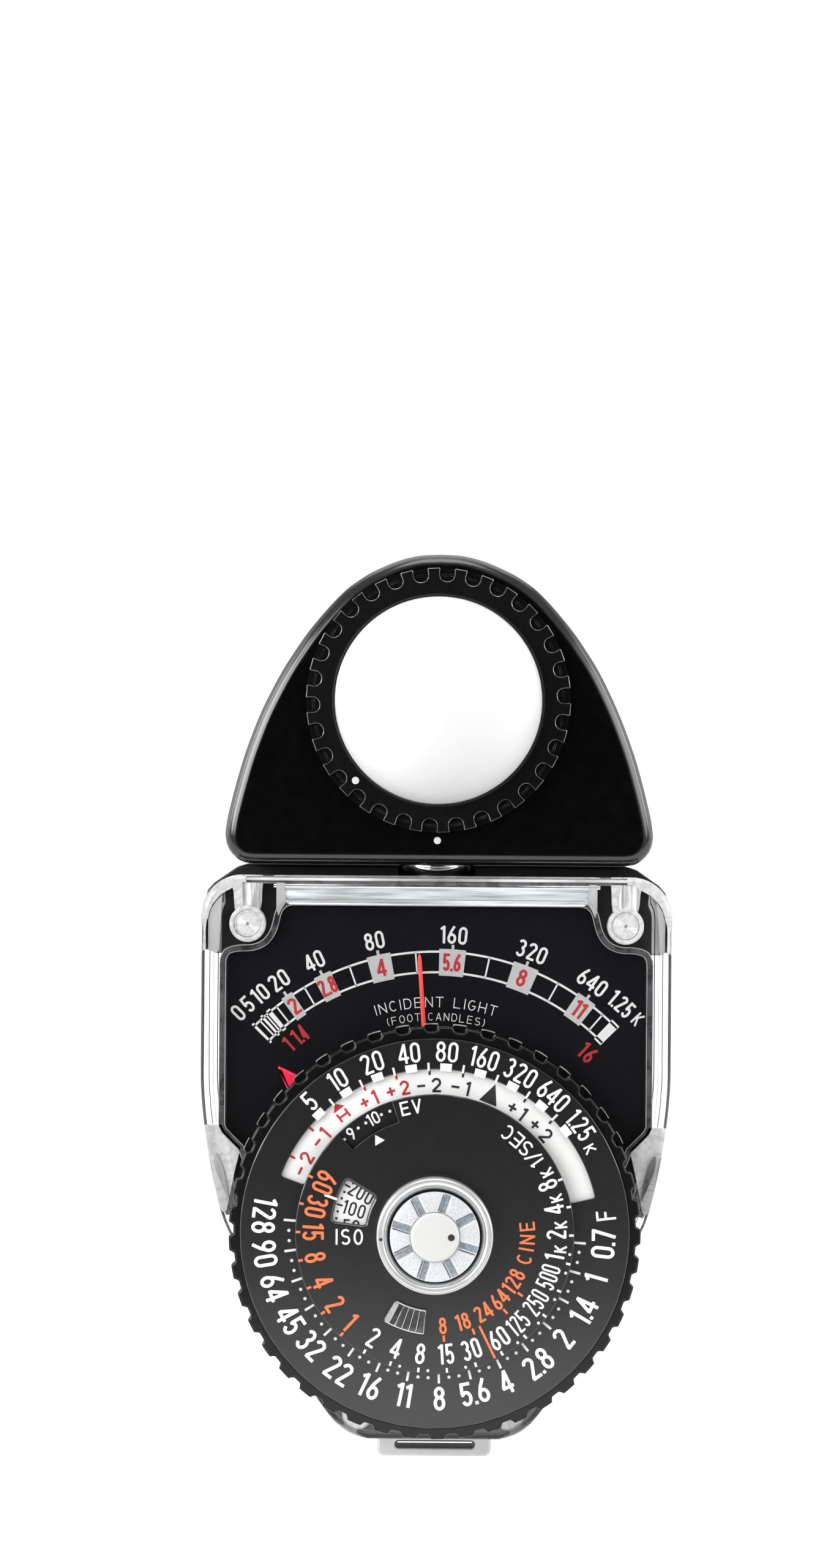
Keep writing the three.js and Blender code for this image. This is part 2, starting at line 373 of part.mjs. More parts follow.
  // diffuser: dome with a foot flange, held by the notched twist ring
  const dome = [];
  const yc = Y_DOME + DOME_R;
  for (let i = 0; i <= 6; i++) { const t = i / 6 * Math.PI / 2; dome.push([i === 0 ? 0 : DOME_R * Math.sin(t), yc - DOME_R * Math.cos(t)]); }
  dome.push([DOME_R, -3.5], [13.6, -3.5], [13.6, -2.75], [11.75, -2.75]);
  for (let i = 5; i >= 0; i--) { const t = i / 5 * Math.PI / 2; dome.push([i === 0 ? 0 : 11.75 * Math.sin(t), yc - 11.75 * Math.cos(t)]); }
  piece(head, 'diffuser_dome', turnY(dome, CELL, 24), mat.dome);
  let ring = turnY([[12.98, -4.5], [RING_R, -4.5], [RING_R, -2.9], [14.3, -2.9], [14.3, 0.9], [13.8, 0.9], [13.8, -3.6], [12.98, -3.6]], CELL, 30);
  for (let i = 0; i < 3; i++) ring = join(ring, sector(CELL, 14.0, 15.25, 20 + 120 * i, 40 + 120 * i, 0.3, 0.9, 10));
  for (let i = 0; i < NOTCHES; i++) {
    const a = 86.43 + 12 * i, u = [];
    for (const [r, o] of [[17.5, 0.9], [15.5, 0.9], [14.8, 0.4], [14.8, -0.4], [15.5, -0.9], [17.5, -0.9]]) {
      const q = pol(CELL, r, a); u.push([q[0] - o * Math.sin(a * RAD), q[1] + o * Math.cos(a * RAD)]);
    }
    ring = cut(ring, slab(u.reverse(), -6, -3.75));
  }
  piece(head, 'diffuser_ring', ring, mat.blackSatin);
}

// ---------------------------------------------------------------- calculator dial
{
  piece(dial, 'dial_hub', turnY([[3.4, -9.7], [4.2, -9.7], [4.2, -4.6], [6.0, -4.6], [6.0, -4.08], [4.2, -4.08], [4.2, -2.55], [2.0, -2.55], [2.0, -4.0], [3.4, -4.0]], DIAL, 20), mat.brass);
  // red memory pointer on its thin carrier ring
  const a = POINTER_ANGLE, w = (r, off) => { const q = pol(DIAL, r, a); return [q[0] - off * Math.sin(a * RAD), q[1] + off * Math.cos(a * RAD)]; };
  let ptr = join(discY(DIAL, 9.0, -4.92, -4.25, 24), slab([w(7.5, -1.4), w(24.0, -1.4), w(24.2, -1.4), w(POINTER_R, 0), w(24.2, 1.4), w(7.5, 1.4)], -4.92, -4.25));
  ptr = cut(ptr, discY(DIAL, 6.2, -6, -3, 24));
  piece(dial, 'memory_pointer', ptr, mat.red);
  // serrated ring: dish that carries the outer plate
  const teeth = [];
  for (let i = 0; i < TEETH; i++) {
    const t = TOOTH_PHASE + 4 + 360 / TEETH * i;
    teeth.push(pol(DIAL, R_TEETH, t - 2.15), pol(DIAL, R_TEETH, t + 2.15), pol(DIAL, R_VALLEY, t + 2.9), pol(DIAL, R_VALLEY, t + 5.1));
  }
  piece(dial, 'serrated_ring', cut(slab(teeth, -7.4, -5.1), discY(DIAL, 21.2, -9, -5.9, 45), discY(DIAL, 4.5, -9, 0, 20)), mat.blackSatin);
  piece(dial, 'outer_dial_plate', cut(discY(DIAL, R_PLATE, -7.9, -7.42, 60), discY(DIAL, R_PLATE_IN, -9, -6, 36), sector(DIAL, ...WINDOW_R, ...WINDOW_A, -9, -6, 7)), mat.blackPlate);
  piece(dial, 'index_disc', turnY([[4.5, -8.15], [13.9, -8.15], [13.9, -6.9], [R_INDEX, -6.9], [R_INDEX, -6.3], [4.5, -6.3]], DIAL, 48), mat.white);
  piece(dial, 'shutter_disc', cut(discY(DIAL, R_SHUTTER, -8.9, -8.3, 54), discY(DIAL, 4.5, -10, -7, 20), sector(DIAL, 14.5, 18, 108.4, 134.4, -10, -7), sector(DIAL, 8.6, 12.7, 148.4, 173.1, -10, -7)), mat.blackPlate);
  piece(dial, 'film_speed_tab', sector(DIAL, 9.3, 12.3, 239.43, 263.93, -10.1, -8.92), mat.clear);
  piece(dial, 'bezel_ring', turnY([[4.3, -9.6], [R_BEZEL_IN, -9.6], [R_BEZEL_IN, -11.1], [6.4, -11.6], [6.9, -11.6], [R_BEZEL, -11.2], [R_BEZEL, -9.0], [4.3, -9.0]], DIAL, 32), mat.chrome);
  piece(dial, 'button_plunger', turnY([[0, -11.5], [1.5, -11.5], [1.5, -3.6], [1.2, -3.3], [0, -3.3]], DIAL, 16), mat.steel);
  // knurled lock button: disc with eight V grooves, recessed for the cap
  let knob = cut(turnY([[0, -12.2], [R_KNOB, -12.2], [R_KNOB, -10.9], [0, -10.9]], DIAL, 32), discY(DIAL, 3.05, -13, -11.85, 24), discY(DIAL, 1.65, -11.6, -10, 14));
  for (let i = 0; i < 8; i++) {
    const t = 26.43 + 45 * i, q0 = pol(DIAL, 2.9, t), h = new THREE.Shape([new THREE.Vector2(-0.5, 0.1), new THREE.Vector2(0, -0.3), new THREE.Vector2(0.5, 0.1)]);
    const g = new THREE.ExtrudeGeometry(h, { depth: 3.2, bevelEnabled: false });
    // local: x across the groove, y depth, z along the radius
    const ux = new THREE.Vector3(-Math.sin(t * RAD), 0, Math.cos(t * RAD)), uz = new THREE.Vector3(Math.cos(t * RAD), 0, Math.sin(t * RAD)), uy = new THREE.Vector3(0, -1, 0);
    g.applyMatrix4(new THREE.Matrix4().makeBasis(ux, uy, uz).setPosition(q0[0], -12.2, q0[1]));
    knob = cut(knob, solid(g));
  }
  piece(dial, 'button_knob', knob, mat.silver);
  piece(dial, 'button_cap', turnY([[0, -12.75], [2.7, -12.75], [R_CAP, -12.5], [R_CAP, -11.9], [0, -11.9]], DIAL, 24), mat.white);
  class Helix extends THREE.Curve { getPoint(t) { const an = t * 2 * Math.PI * 4.5; return new THREE.Vector3(DIAL[0] + 2.6 * Math.cos(an), -4.3 - 5.2 * t, DIAL[1] + 2.6 * Math.sin(an)); } }
  piece(dial, 'button_spring', sweep(new Helix(), 0.22, 4, 54), mat.steel);
}

root.position.z = LIFT;
export default root;
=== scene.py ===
import math
import bpy
import bmesh
import numpy as np
from mathutils import Matrix, Vector
from mathutils.geometry import tessellate_polygon


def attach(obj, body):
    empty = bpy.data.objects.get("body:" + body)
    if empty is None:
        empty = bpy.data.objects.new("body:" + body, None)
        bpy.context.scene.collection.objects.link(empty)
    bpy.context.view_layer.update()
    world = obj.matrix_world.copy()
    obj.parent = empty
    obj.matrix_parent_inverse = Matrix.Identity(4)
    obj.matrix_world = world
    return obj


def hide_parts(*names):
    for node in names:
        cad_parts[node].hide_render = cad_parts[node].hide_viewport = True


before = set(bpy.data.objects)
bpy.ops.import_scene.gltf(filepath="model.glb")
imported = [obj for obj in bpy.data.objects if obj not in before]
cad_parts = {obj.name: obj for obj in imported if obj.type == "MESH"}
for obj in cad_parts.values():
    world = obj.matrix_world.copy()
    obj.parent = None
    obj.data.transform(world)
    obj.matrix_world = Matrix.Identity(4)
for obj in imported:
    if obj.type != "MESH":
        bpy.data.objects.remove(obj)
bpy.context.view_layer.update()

# ------------------------------------------------------------------ numbers (mm, datum Z; everything is lifted by LIFT)
MM = 0.001
LIFT = 1.6
DIAL = (0.0, 27.8)
CELL = (0.0, 93.5)
MOVE = (0.0, 30.4)
SWIVEL = (0.0, 5.4)
TILT = 0.43                      # angles measured from the picture's own axis
rad = math.radians


def pol(c, r, a):
    return (c[0] + r * math.cos(rad(a)), c[1] + r * math.sin(rad(a)))


def along(c, r, off, ang):
    return (c[0] + r * math.cos(rad(ang)) - off * math.sin(rad(ang)), c[1] + r * math.sin(rad(ang)) + off * math.cos(rad(ang)))


# ------------------------------------------------------------------ meshes
def make(name, geo, mat, body, angle=30, nodes=()):
    verts, faces = geo
    me = bpy.data.meshes.new(name)
    me.from_pydata([(v[0] * MM, v[1] * MM, (v[2] + LIFT) * MM) for v in verts], [], faces)
    bm = bmesh.new()
    bm.from_mesh(me)
    bmesh.ops.remove_doubles(bm, verts=bm.verts, dist=2e-7)
    bmesh.ops.dissolve_degenerate(bm, edges=bm.edges, dist=1e-8)
    bmesh.ops.recalc_face_normals(bm, faces=bm.faces)
    loose = [v for v in bm.verts if not v.link_faces]
    bmesh.ops.delete(bm, geom=loose, context='VERTS')
    open_edges = sum(1 for e in bm.edges if len(e.link_faces) != 2)
    bm.to_mesh(me)
    bm.free()
    if open_edges:
        print("open edges", name, open_edges)
    o = bpy.data.objects.new(name, me)
    bpy.context.scene.collection.objects.link(o)
    me.materials.append(mat)
    me.shade_smooth()
    me.set_sharp_from_angle(angle=rad(angle))
    if body:
        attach(o, body)
    if nodes:
        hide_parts(*nodes)
    return o


def merged(*geos):
    verts, faces = [], []
    for v, f in geos:
        n = len(verts)
        verts += list(v)
        faces += [tuple(i + n for i in q) for q in f]
    return verts, faces


def area2(c):
    x, y = c[:, 0], c[:, 1]
    return 0.5 * float(np.sum(x * np.roll(y, -1) - y * np.roll(x, -1)))


def ccw(c):
    c = np.asarray(c, float)
    return c if area2(c) > 0 else c[::-1]


def offset(c, d):
    if np.all(np.abs(d) < 1e-9):
        return c.copy()
    e1, e2 = c - np.roll(c, 1, 0), np.roll(c, -1, 0) - c
    n1 = np.stack([-e1[:, 1], e1[:, 0]], 1)
    n2 = np.stack([-e2[:, 1], e2[:, 0]], 1)
    n1 /= np.maximum(np.linalg.norm(n1, axis=1, keepdims=True), 1e-12)
    n2 /= np.maximum(np.linalg.norm(n2, axis=1, keepdims=True), 1e-12)
    m = n1 + n2
    m /= np.maximum(np.linalg.norm(m, axis=1, keepdims=True), 1e-12)
    k = 1 / np.maximum(0.45, np.sum(m * n1, 1))
    return c + m * (d * k)[:, None]


def edge(y0, y1, rf, rb, n=4, hold=0.04):
    """Profile of a plate's edge from the front face to the back face, with rounded edges."""
    p = []
    if rf > 0:
        p.append((rf + hold, y0))
        for k in range(n + 1):
            t = math.pi / 2 * k / n
            p.append((rf * (1 - math.sin(t)), y0 + rf * (1 - math.cos(t))))
    else:
        p.append((0, y0))
    if rb > 0:
        for k in range(n + 1):
            t = math.pi / 2 * k / n
            p.append((rb * (1 - math.cos(t)), y1 - rb * (1 - math.sin(t))))
        p.append((rb + hold, y1))
    else:
        p.append((0, y1))
    return p


def plate(outer, holes, prof, hole_prof=None, share=None):
    verts, faces, front, back = [], [], [], []
    for k, c in enumerate([ccw(outer)] + [ccw(h)[::-1] for h in holes]):
        pr = prof if k == 0 or hole_prof is None else hole_prof
        n, start = len(c), len(verts)
        for ins, y in pr:
            verts += [(float(p[0]), y, float(p[1])) for p in offset(c, ins if k or share is None else ins * share)]
        for j in range(len(pr) - 1):
            a, b = start + j * n, start + (j + 1) * n
            for i in range(n):
                i2 = (i + 1) % n
                faces.append((a + i, a + i2, b + i2, b + i))
        front.append(list(range(start, start + n)))
        back.append(list(range(start + (len(pr) - 1) * n, start + len(pr) * n)))
    for loops in (front, back):
        flat = [i for l in loops for i in l]
        tris = tessellate_polygon([[Vector((verts[i][0], verts[i][2], 0)) for i in l] for l in loops])
        faces += [tuple(flat[i] for i in t) for t in tris]
    return verts, faces


def lathe(prof, c, n, axis='y', closed=None):
    """Turns a profile of (radius, position) about an axis along Y (c = x,z) or Z (c = x,y)."""
    verts, rings, faces = [], [], []
    for r, h in prof:
        if r < 1e-6:
            rings.append([len(verts)])
            verts.append((c[0], h, c[1]) if axis == 'y' else (c[0], c[1], h))
        else:
            rings.append(list(range(len(verts), len(verts) + n)))
            for i in range(n):
                a = 2 * math.pi * i / n
                p, q = c[0] + r * math.cos(a), c[1] + r * math.sin(a)
                verts.append((p, h, q) if axis == 'y' else (p, q, h))
    pairs = list(zip(rings, rings[1:]))
    if not (prof[0][0] < 1e-6 and prof[-1][0] < 1e-6):
        pairs.append((rings[-1], rings[0]))
    for a, b in pairs:
        for i in range(n):
            i2 = (i + 1) % n
            if len(a) > 1 and len(b) > 1:
                faces.append((a[i], a[i2], b[i2], b[i]))
            elif len(a) > 1:
                faces.append((a[i], a[i2], b[0]))
            elif len(b) > 1:
                faces.append((a[0], b[i2], b[i]))
    return verts, faces


def circle(c, r, n=48, a0=0.0):
    return [pol(c, r, a0 + 360 * i / n) for i in range(n)]


def sector(c, r0, r1, a0, a1, fillet=0.0, step=2.0):
    """Closed outline of a ring sector, with rounded corners."""
    n = max(2, int(abs(a1 - a0) / step))
    if fillet <= 0:
        return [pol(c, r1, a0 + (a1 - a0) * i / n) for i in range(n + 1)] + [pol(c, r0, a1 - (a1 - a0) * i / n) for i in range(n + 1)]
    pts = []
    for (r, aa, ab, sgn) in ((r1, a0, a1, -1), (r0, a1, a0, 1)):
        da = math.degrees(fillet / r) * (1 if ab > aa else -1)
        rc = r + sgn * fillet
        m0, m1 = pol(c, rc, aa + math.degrees(fillet / rc) * (1 if ab > aa else -1)), pol(c, rc, ab - math.degrees(fillet / rc) * (1 if ab > aa else -1))
        up0 = math.atan2(m0[1] - c[1], m0[0] - c[0])
        up1 = math.atan2(m1[1] - c[1], m1[0] - c[0])
        if sgn < 0:
            for k in range(5):
                t = up0 - math.pi / 2 * (1 - k / 4)
                pts.append((m0[0] + fillet * math.cos(t), m0[1] + fillet * math.sin(t)))
            for i in range(1, n):
                pts.append(pol(c, r, aa + da + (ab - aa - 2 * da) * i / n))
            for k in range(5):
                t = up1 + math.pi / 2 * k / 4
                pts.append((m1[0] + fillet * math.cos(t), m1[1] + fillet * math.sin(t)))
        else:
            for k in range(5):
                t = up0 + math.pi / 2 + math.pi / 2 * k / 4
                pts.append((m0[0] + fillet * math.cos(t), m0[1] + fillet * math.sin(t)))
            for i in range(1, n):
                pts.append(pol(c, r, aa + da + (ab - aa - 2 * da) * i / n))
            for k in range(5):
                t = up1 + math.pi + math.pi / 2 * k / 4
                pts.append((m1[0] + fillet * math.cos(t), m1[1] + fillet * math.sin(t)))
    return pts


def box_geo(x0, x1, y0, y1, z0, z1):
    v = [(x0, y0, z0), (x1, y0, z0), (x1, y1, z0), (x0, y1, z0), (x0, y0, z1), (x1, y0, z1), (x1, y1, z1), (x0, y1, z1)]
    return v, [(0, 3, 2, 1), (4, 5, 6, 7), (0, 1, 5, 4), (1, 2, 6, 5), (2, 3, 7, 6), (3, 0, 4, 7)]


def boolean(o, geo, op='DIFFERENCE', solver='EXACT', angle=30):
    cutter = make("cutter", geo, o.data.materials[0], None)
    m = o.modifiers.new('b', 'BOOLEAN')
    m.object, m.operation, m.solver = cutter, op, solver
    dg = bpy.context.evaluated_depsgraph_get()
    me = bpy.data.meshes.new_from_object(o.evaluated_get(dg))
    old = o.data
    o.modifiers.clear()
    o.data = me
    bpy.data.meshes.remove(old)
    cm = cutter.data
    bpy.data.objects.remove(cutter)
    bpy.data.meshes.remove(cm)
    me.shade_smooth()
    me.set_sharp_from_angle(angle=rad(angle))
    return o


def spline(points, step=0.45):
    """Smooth open curve through points (centripetal Catmull-Rom)."""
    P = np.asarray(points, float)
    P = np.vstack([2 * P[0] - P[1], P, 2 * P[-1] - P[-2]])
    out = []
    for i in range(1, len(P) - 2):
        p0, p1, p2, p3 = P[i - 1], P[i], P[i + 1], P[i + 2]
        d = [max(1e-6, np.linalg.norm(b - a) ** 0.5) for a, b in ((p0, p1), (p1, p2), (p2, p3))]
        m1 = (p1 - p0) / d[0] - (p2 - p0) / (d[0] + d[1]) + (p2 - p1) / d[1]
        m2 = (p2 - p1) / d[1] - (p3 - p1) / (d[1] + d[2]) + (p3 - p2) / d[2]
        m1, m2 = m1 * d[1], m2 * d[1]
        n = max(1, int(np.linalg.norm(p2 - p1) / step))
        for k in range(n):
            t = k / n
            out.append((2 * t ** 3 - 3 * t ** 2 + 1) * p1 + (t ** 3 - 2 * t ** 2 + t) * m1 + (-2 * t ** 3 + 3 * t ** 2) * p2 + (t ** 3 - t ** 2) * m2)
    out.append(P[-2])
    return [tuple(map(float, p)) for p in out]


def corner(p, q, r, rr, n=6):
    """Points of a rounded corner at q between p and r."""
    p, q, r = map(lambda v: np.asarray(v, float), (p, q, r))
    a, b = (p - q) / np.linalg.norm(p - q), (r - q) / np.linalg.norm(r - q)
    half = math.acos(max(-1, min(1, float(a @ b)))) / 2
    d = rr / math.tan(half)
    c = q + (a + b) / np.linalg.norm(a + b) * rr / math.sin(half)
    s, e = q + a * d, q + b * d
    t0, t1 = math.atan2(*(s - c)[::-1]), math.atan2(*(e - c)[::-1])
    while t1 - t0 > math.pi:
        t1 -= 2 * math.pi
    while t1 - t0 < -math.pi:
        t1 += 2 * math.pi
    return [(float(c[0] + rr * math.cos(t0 + (t1 - t0) * k / n)), float(c[1] + rr * math.sin(t0 + (t1 - t0) * k / n))) for k in range(n + 1)]


def mirror(half):
    """Closed outline from its right half, listed from bottom centre to top centre."""
    left = [(-x, z) for x, z in reversed(half) if x > 1e-4]
    return list(half) + left


# ------------------------------------------------------------------ materials
def nodes_of(name):
    m = bpy.data.materials.new(name)
    m.use_nodes = True
    nt = m.node_tree
    return m, nt, nt.nodes["Principled BSDF"], nt.nodes["Material Output"]


def surface(name, color, rough, metal=0.0, ior=1.5, spec=0.5, coat=0.0, coat_rough=0.05, grain=900.0, vary=0.12, rough_vary=0.06,
            bump=0.0, bump_scale=2500.0, stretch=(1, 1, 1), sss=0.0, emission=0.0):
    m, nt, bsdf, out = nodes_of(name)
    tc = nt.nodes.new("ShaderNodeTexCoord")
    mp = nt.nodes.new("ShaderNodeMapping")
    mp.inputs["Scale"].default_value = stretch
    nt.links.new(tc.outputs["Object"], mp.inputs["Vector"])
    nz = nt.nodes.new("ShaderNodeTexNoise")
    nz.inputs["Scale"].default_value = grain
    nz.inputs["Detail"].default_value = 3
    nt.links.new(mp.outputs["Vector"], nz.inputs["Vector"])
    cr = nt.nodes.new("ShaderNodeMapRange")
    cr.inputs["From Min"].default_value, cr.inputs["From Max"].default_value = 0.3, 0.7
    cr.inputs["To Min"].default_value, cr.inputs["To Max"].default_value = 1 - vary, 1 + vary
    nt.links.new(nz.outputs["Fac"], cr.inputs["Value"])
    mul = nt.nodes.new("ShaderNodeVectorMath")
    mul.operation = 'SCALE'
    mul.inputs[0].default_value = color[:3]
    nt.links.new(cr.outputs["Result"], mul.inputs["Scale"])
    nt.links.new(mul.outputs["Vector"], bsdf.inputs["Base Color"])
    rr = nt.nodes.new("ShaderNodeMapRange")
    rr.inputs["From Min"].default_value, rr.inputs["From Max"].default_value = 0.3, 0.7
    rr.inputs["To Min"].default_value, rr.inputs["To Max"].default_value = max(0.01, rough - rough_vary), min(1, rough + rough_vary)
    nt.links.new(nz.outputs["Fac"], rr.inputs["Value"])
    nt.links.new(rr.outputs["Result"], bsdf.inputs["Roughness"])
    bsdf.inputs["Metallic"].default_value = metal
    bsdf.inputs["IOR"].default_value = ior
    bsdf.inputs["Specular IOR Level"].default_value = spec
    bsdf.inputs["Coat Weight"].default_value = coat
    bsdf.inputs["Coat Roughness"].default_value = coat_rough
    if sss:
        bsdf.inputs["Subsurface Weight"].default_value = sss
        bsdf.inputs["Subsurface Radius"].default_value = (1.0, 1.0, 1.0)
        bsdf.inputs["Subsurface Scale"].default_value = 0.0015
    if emission:
        bsdf.inputs["Emission Color"].default_value = (*color[:3], 1)
        bsdf.inputs["Emission Strength"].default_value = emission
    if bump:
        n2 = nt.nodes.new("ShaderNodeTexNoise")
        n2.inputs["Scale"].default_value = bump_scale
        n2.inputs["Detail"].default_value = 2
        nt.links.new(mp.outputs["Vector"], n2.inputs["Vector"])
        bp = nt.nodes.new("ShaderNodeBump")
        bp.inputs["Strength"].default_value = bump
        bp.inputs["Distance"].default_value = 0.00005
        nt.links.new(n2.outputs["Fac"], bp.inputs["Height"])
        nt.links.new(bp.outputs["Normal"], bsdf.inputs["Normal"])
    return m


def clear(name, rough=0.01, ior=1.49, tint=(1, 1, 1)):
    m, nt, bsdf, out = nodes_of(name)
    bsdf.inputs["Base Color"].default_value = (*tint, 1)
    bsdf.inputs["Transmission Weight"].default_value = 1.0
    bsdf.inputs["IOR"].default_value = ior
    tc = nt.nodes.new("ShaderNodeTexCoord")
    nz = nt.nodes.new("ShaderNodeTexNoise")
    nz.inputs["Scale"].default_value = 120
    nt.links.new(tc.outputs["Object"], nz.inputs["Vector"])
    rr = nt.nodes.new("ShaderNodeMapRange")
    rr.inputs["To Min"].default_value, rr.inputs["To Max"].default_value = max(0, rough - 0.008), rough + 0.008
    nt.links.new(nz.outputs["Fac"], rr.inputs["Value"])
    nt.links.new(rr.outputs["Result"], bsdf.inputs["Roughness"])
    tr = nt.nodes.new("ShaderNodeBsdfTransparent")
    lp = nt.nodes.new("ShaderNodeLightPath")
    mx = nt.nodes.new("ShaderNodeMixShader")
    nt.links.new(lp.outputs["Is Shadow Ray"], mx.inputs["Fac"])
    nt.links.new(bsdf.outputs["BSDF"], mx.inputs[1])
    nt.links.new(tr.outputs["BSDF"], mx.inputs[2])
    nt.links.new(mx.outputs["Shader"], out.inputs["Surface"])
    return m


M = {
    "head": surface("head_black", (0.0018, 0.0018, 0.0022), 0.14, spec=0.5, grain=700, vary=0.2, rough_vary=0.03, bump=0.02),
    "head_edge": surface("head_black_edge", (0.0020, 0.0020, 0.0024), 0.13, ior=1.72, spec=0.5, grain=700, vary=0.15, rough_vary=0.02),
    "lug": surface("lug_plating", (0.56, 0.56, 0.565), 0.34, metal=0.5, grain=700, vary=0.05, rough_vary=0.05),
    "groove": surface("groove_shade", (0.31, 0.35, 0.385), 0.4, metal=0.3, grain=3000, vary=0.25, rough_vary=0.1),
    "satin": surface("satin_black", (0.008, 0.0078, 0.0085), 0.42, grain=1500, vary=0.15, bump=0.12, bump_scale=5000),
    "ring": surface("ring_black", (0.0034, 0.0034, 0.0040), 0.24, grain=1500, vary=0.08, rough_vary=0.02),
    "rim": surface("rim_black", (0.0026, 0.0025, 0.0027), 0.24, grain=1500, vary=0.08, rough_vary=0.02),
    "plate": surface("plate_enamel", (0.0070, 0.0066, 0.0078), 0.25, ior=1.8, grain=1200, vary=0.04, rough_vary=0.01),
    "scale": surface("scale_satin", (0.0026, 0.0026, 0.0038), 0.20, grain=1500, vary=0.06, rough_vary=0.01),
    "white": surface("index_enamel", (0.76, 0.76, 0.75), 0.45, grain=800, vary=0.015, bump=0.04),
    "cap": surface("cap_white", (0.575, 0.575, 0.565), 0.35, grain=1800, vary=0.006, rough_vary=0.01),
    "dome": surface("dome_white", (0.80, 0.80, 0.797), 0.4, grain=200, vary=0.006, sss=0.35),
    "red": surface("pointer_red", (0.90, 0.028, 0.09), 0.2, grain=500, vary=0.08, coat=0.4),
    "needle": surface("needle_red", (0.92, 0.07, 0.06), 0.4, grain=500, vary=0.04),
    "chrome": surface("polished_chrome", (0.86, 0.87, 0.88), 0.07, metal=1, grain=300, vary=0.02, rough_vary=0.02),
    "bezel": surface("brushed_chrome", (0.74, 0.74, 0.735), 0.22, metal=0.55, grain=1600, vary=0.02, rough_vary=0.015),
    "silver": surface("satin_silver", (0.62, 0.64, 0.66), 0.45, metal=0.3, grain=5500, vary=0.22, rough_vary=0.12, bump=0.6, bump_scale=6000),
    "steel": surface("plated_steel", (0.66, 0.67, 0.67), 0.3, metal=1, grain=300, vary=0.02, rough_vary=0.02),
    "brass": surface("turned_brass", (0.66, 0.48, 0.2), 0.28, metal=1, grain=900, vary=0.1),
    "iron": surface("dark_iron", (0.2, 0.2, 0.21), 0.5, metal=1, grain=900, vary=0.2, bump=0.2),
    "copper": surface("copper_winding", (0.5, 0.2, 0.07), 0.35, metal=0.8, grain=1500, vary=0.2, stretch=(1, 8, 1)),
    "board": surface("green_laminate", (0.03, 0.16, 0.07), 0.45, grain=900, vary=0.15),
    "cell": surface("violet_cell", (0.03, 0.018, 0.06), 0.15, grain=900, vary=0.2, coat=0.6),
    "lead": surface("lead_insulation", (0.33, 0.02, 0.02), 0.5, grain=900, vary=0.1),
    "clear": clear("clear_acrylic"),
    # painted light seen in the clear cover: a mirror-like painted glint and light fills (bright, half, dim, faint,
    # streaked) set behind its front wall
    "glint": surface("painted_glint", (0.90, 0.91, 0.92), 0.16, metal=1, grain=500, vary=0.06, rough_vary=0.06, bump=0.1, bump_scale=1500),
    "bright_light_fill": surface("painted_bright_light", (0.62, 0.62, 0.63), 0.3, metal=0.1, grain=1500, vary=0.12, rough_vary=0.1, bump=0.1, bump_scale=900),
    "half_light_fill": surface("painted_half_light", (0.42, 0.42, 0.43), 0.3, metal=0.1, grain=300, vary=0.18, rough_vary=0.1, stretch=(1, 1, 0.3)),
    "dim_light_fill": surface("painted_dim_light", (0.13, 0.13, 0.135), 0.3, grain=700, vary=0.3, rough_vary=0.1),
    "faint_light_fill": surface("painted_faint_light", (0.050, 0.050, 0.054), 0.3, grain=700, vary=0.6, rough_vary=0.1),
    "streaked_light_v": surface("painted_streaked_light", (0.66, 0.66, 0.66), 0.3, metal=0.1, grain=2200, vary=0.55, rough_vary=0.1, stretch=(1, 1, 0.07)),
    "streaked_light_h": surface("painted_banded_light", (0.62, 0.63, 0.64), 0.3, metal=0.1, grain=1900, vary=0.50, rough_vary=0.1, stretch=(0.05, 1, 1)),
    # painted highlight lines for edges: bright, dim and mid-grey
    "edge_light": surface("painted_lit_edge", (0.62, 0.62, 0.62), 0.3, metal=0.6, grain=900, vary=0.4, rough_vary=0.05),
    "edge_dim": surface("painted_dim_edge", (0.05, 0.05, 0.055), 0.25, metal=0.5, grain=900, vary=0.5, rough_vary=0.05),
    "edge": surface("painted_edge_highlight", (0.30, 0.30, 0.31), 0.25, metal=1, grain=900, vary=0.35, rough_vary=0.05),
    "ink_white": surface("ink_white", (0.72, 0.72, 0.72), 0.6, grain=2500, vary=0.03),
    "ink_orange": surface("ink_orange", (0.86, 0.17, 0.055), 0.6, grain=2500, vary=0.04),
    "ink_red": surface("ink_red", (0.42, 0.012, 0.02), 0.6, grain=2500, vary=0.04),
    "ink_black": surface("ink_black", (0.012, 0.012, 0.013), 0.5, grain=2500, vary=0.1),
    "ink_grey": surface("ink_grey", (0.47, 0.47, 0.47), 0.6, grain=2500, vary=0.04),
}
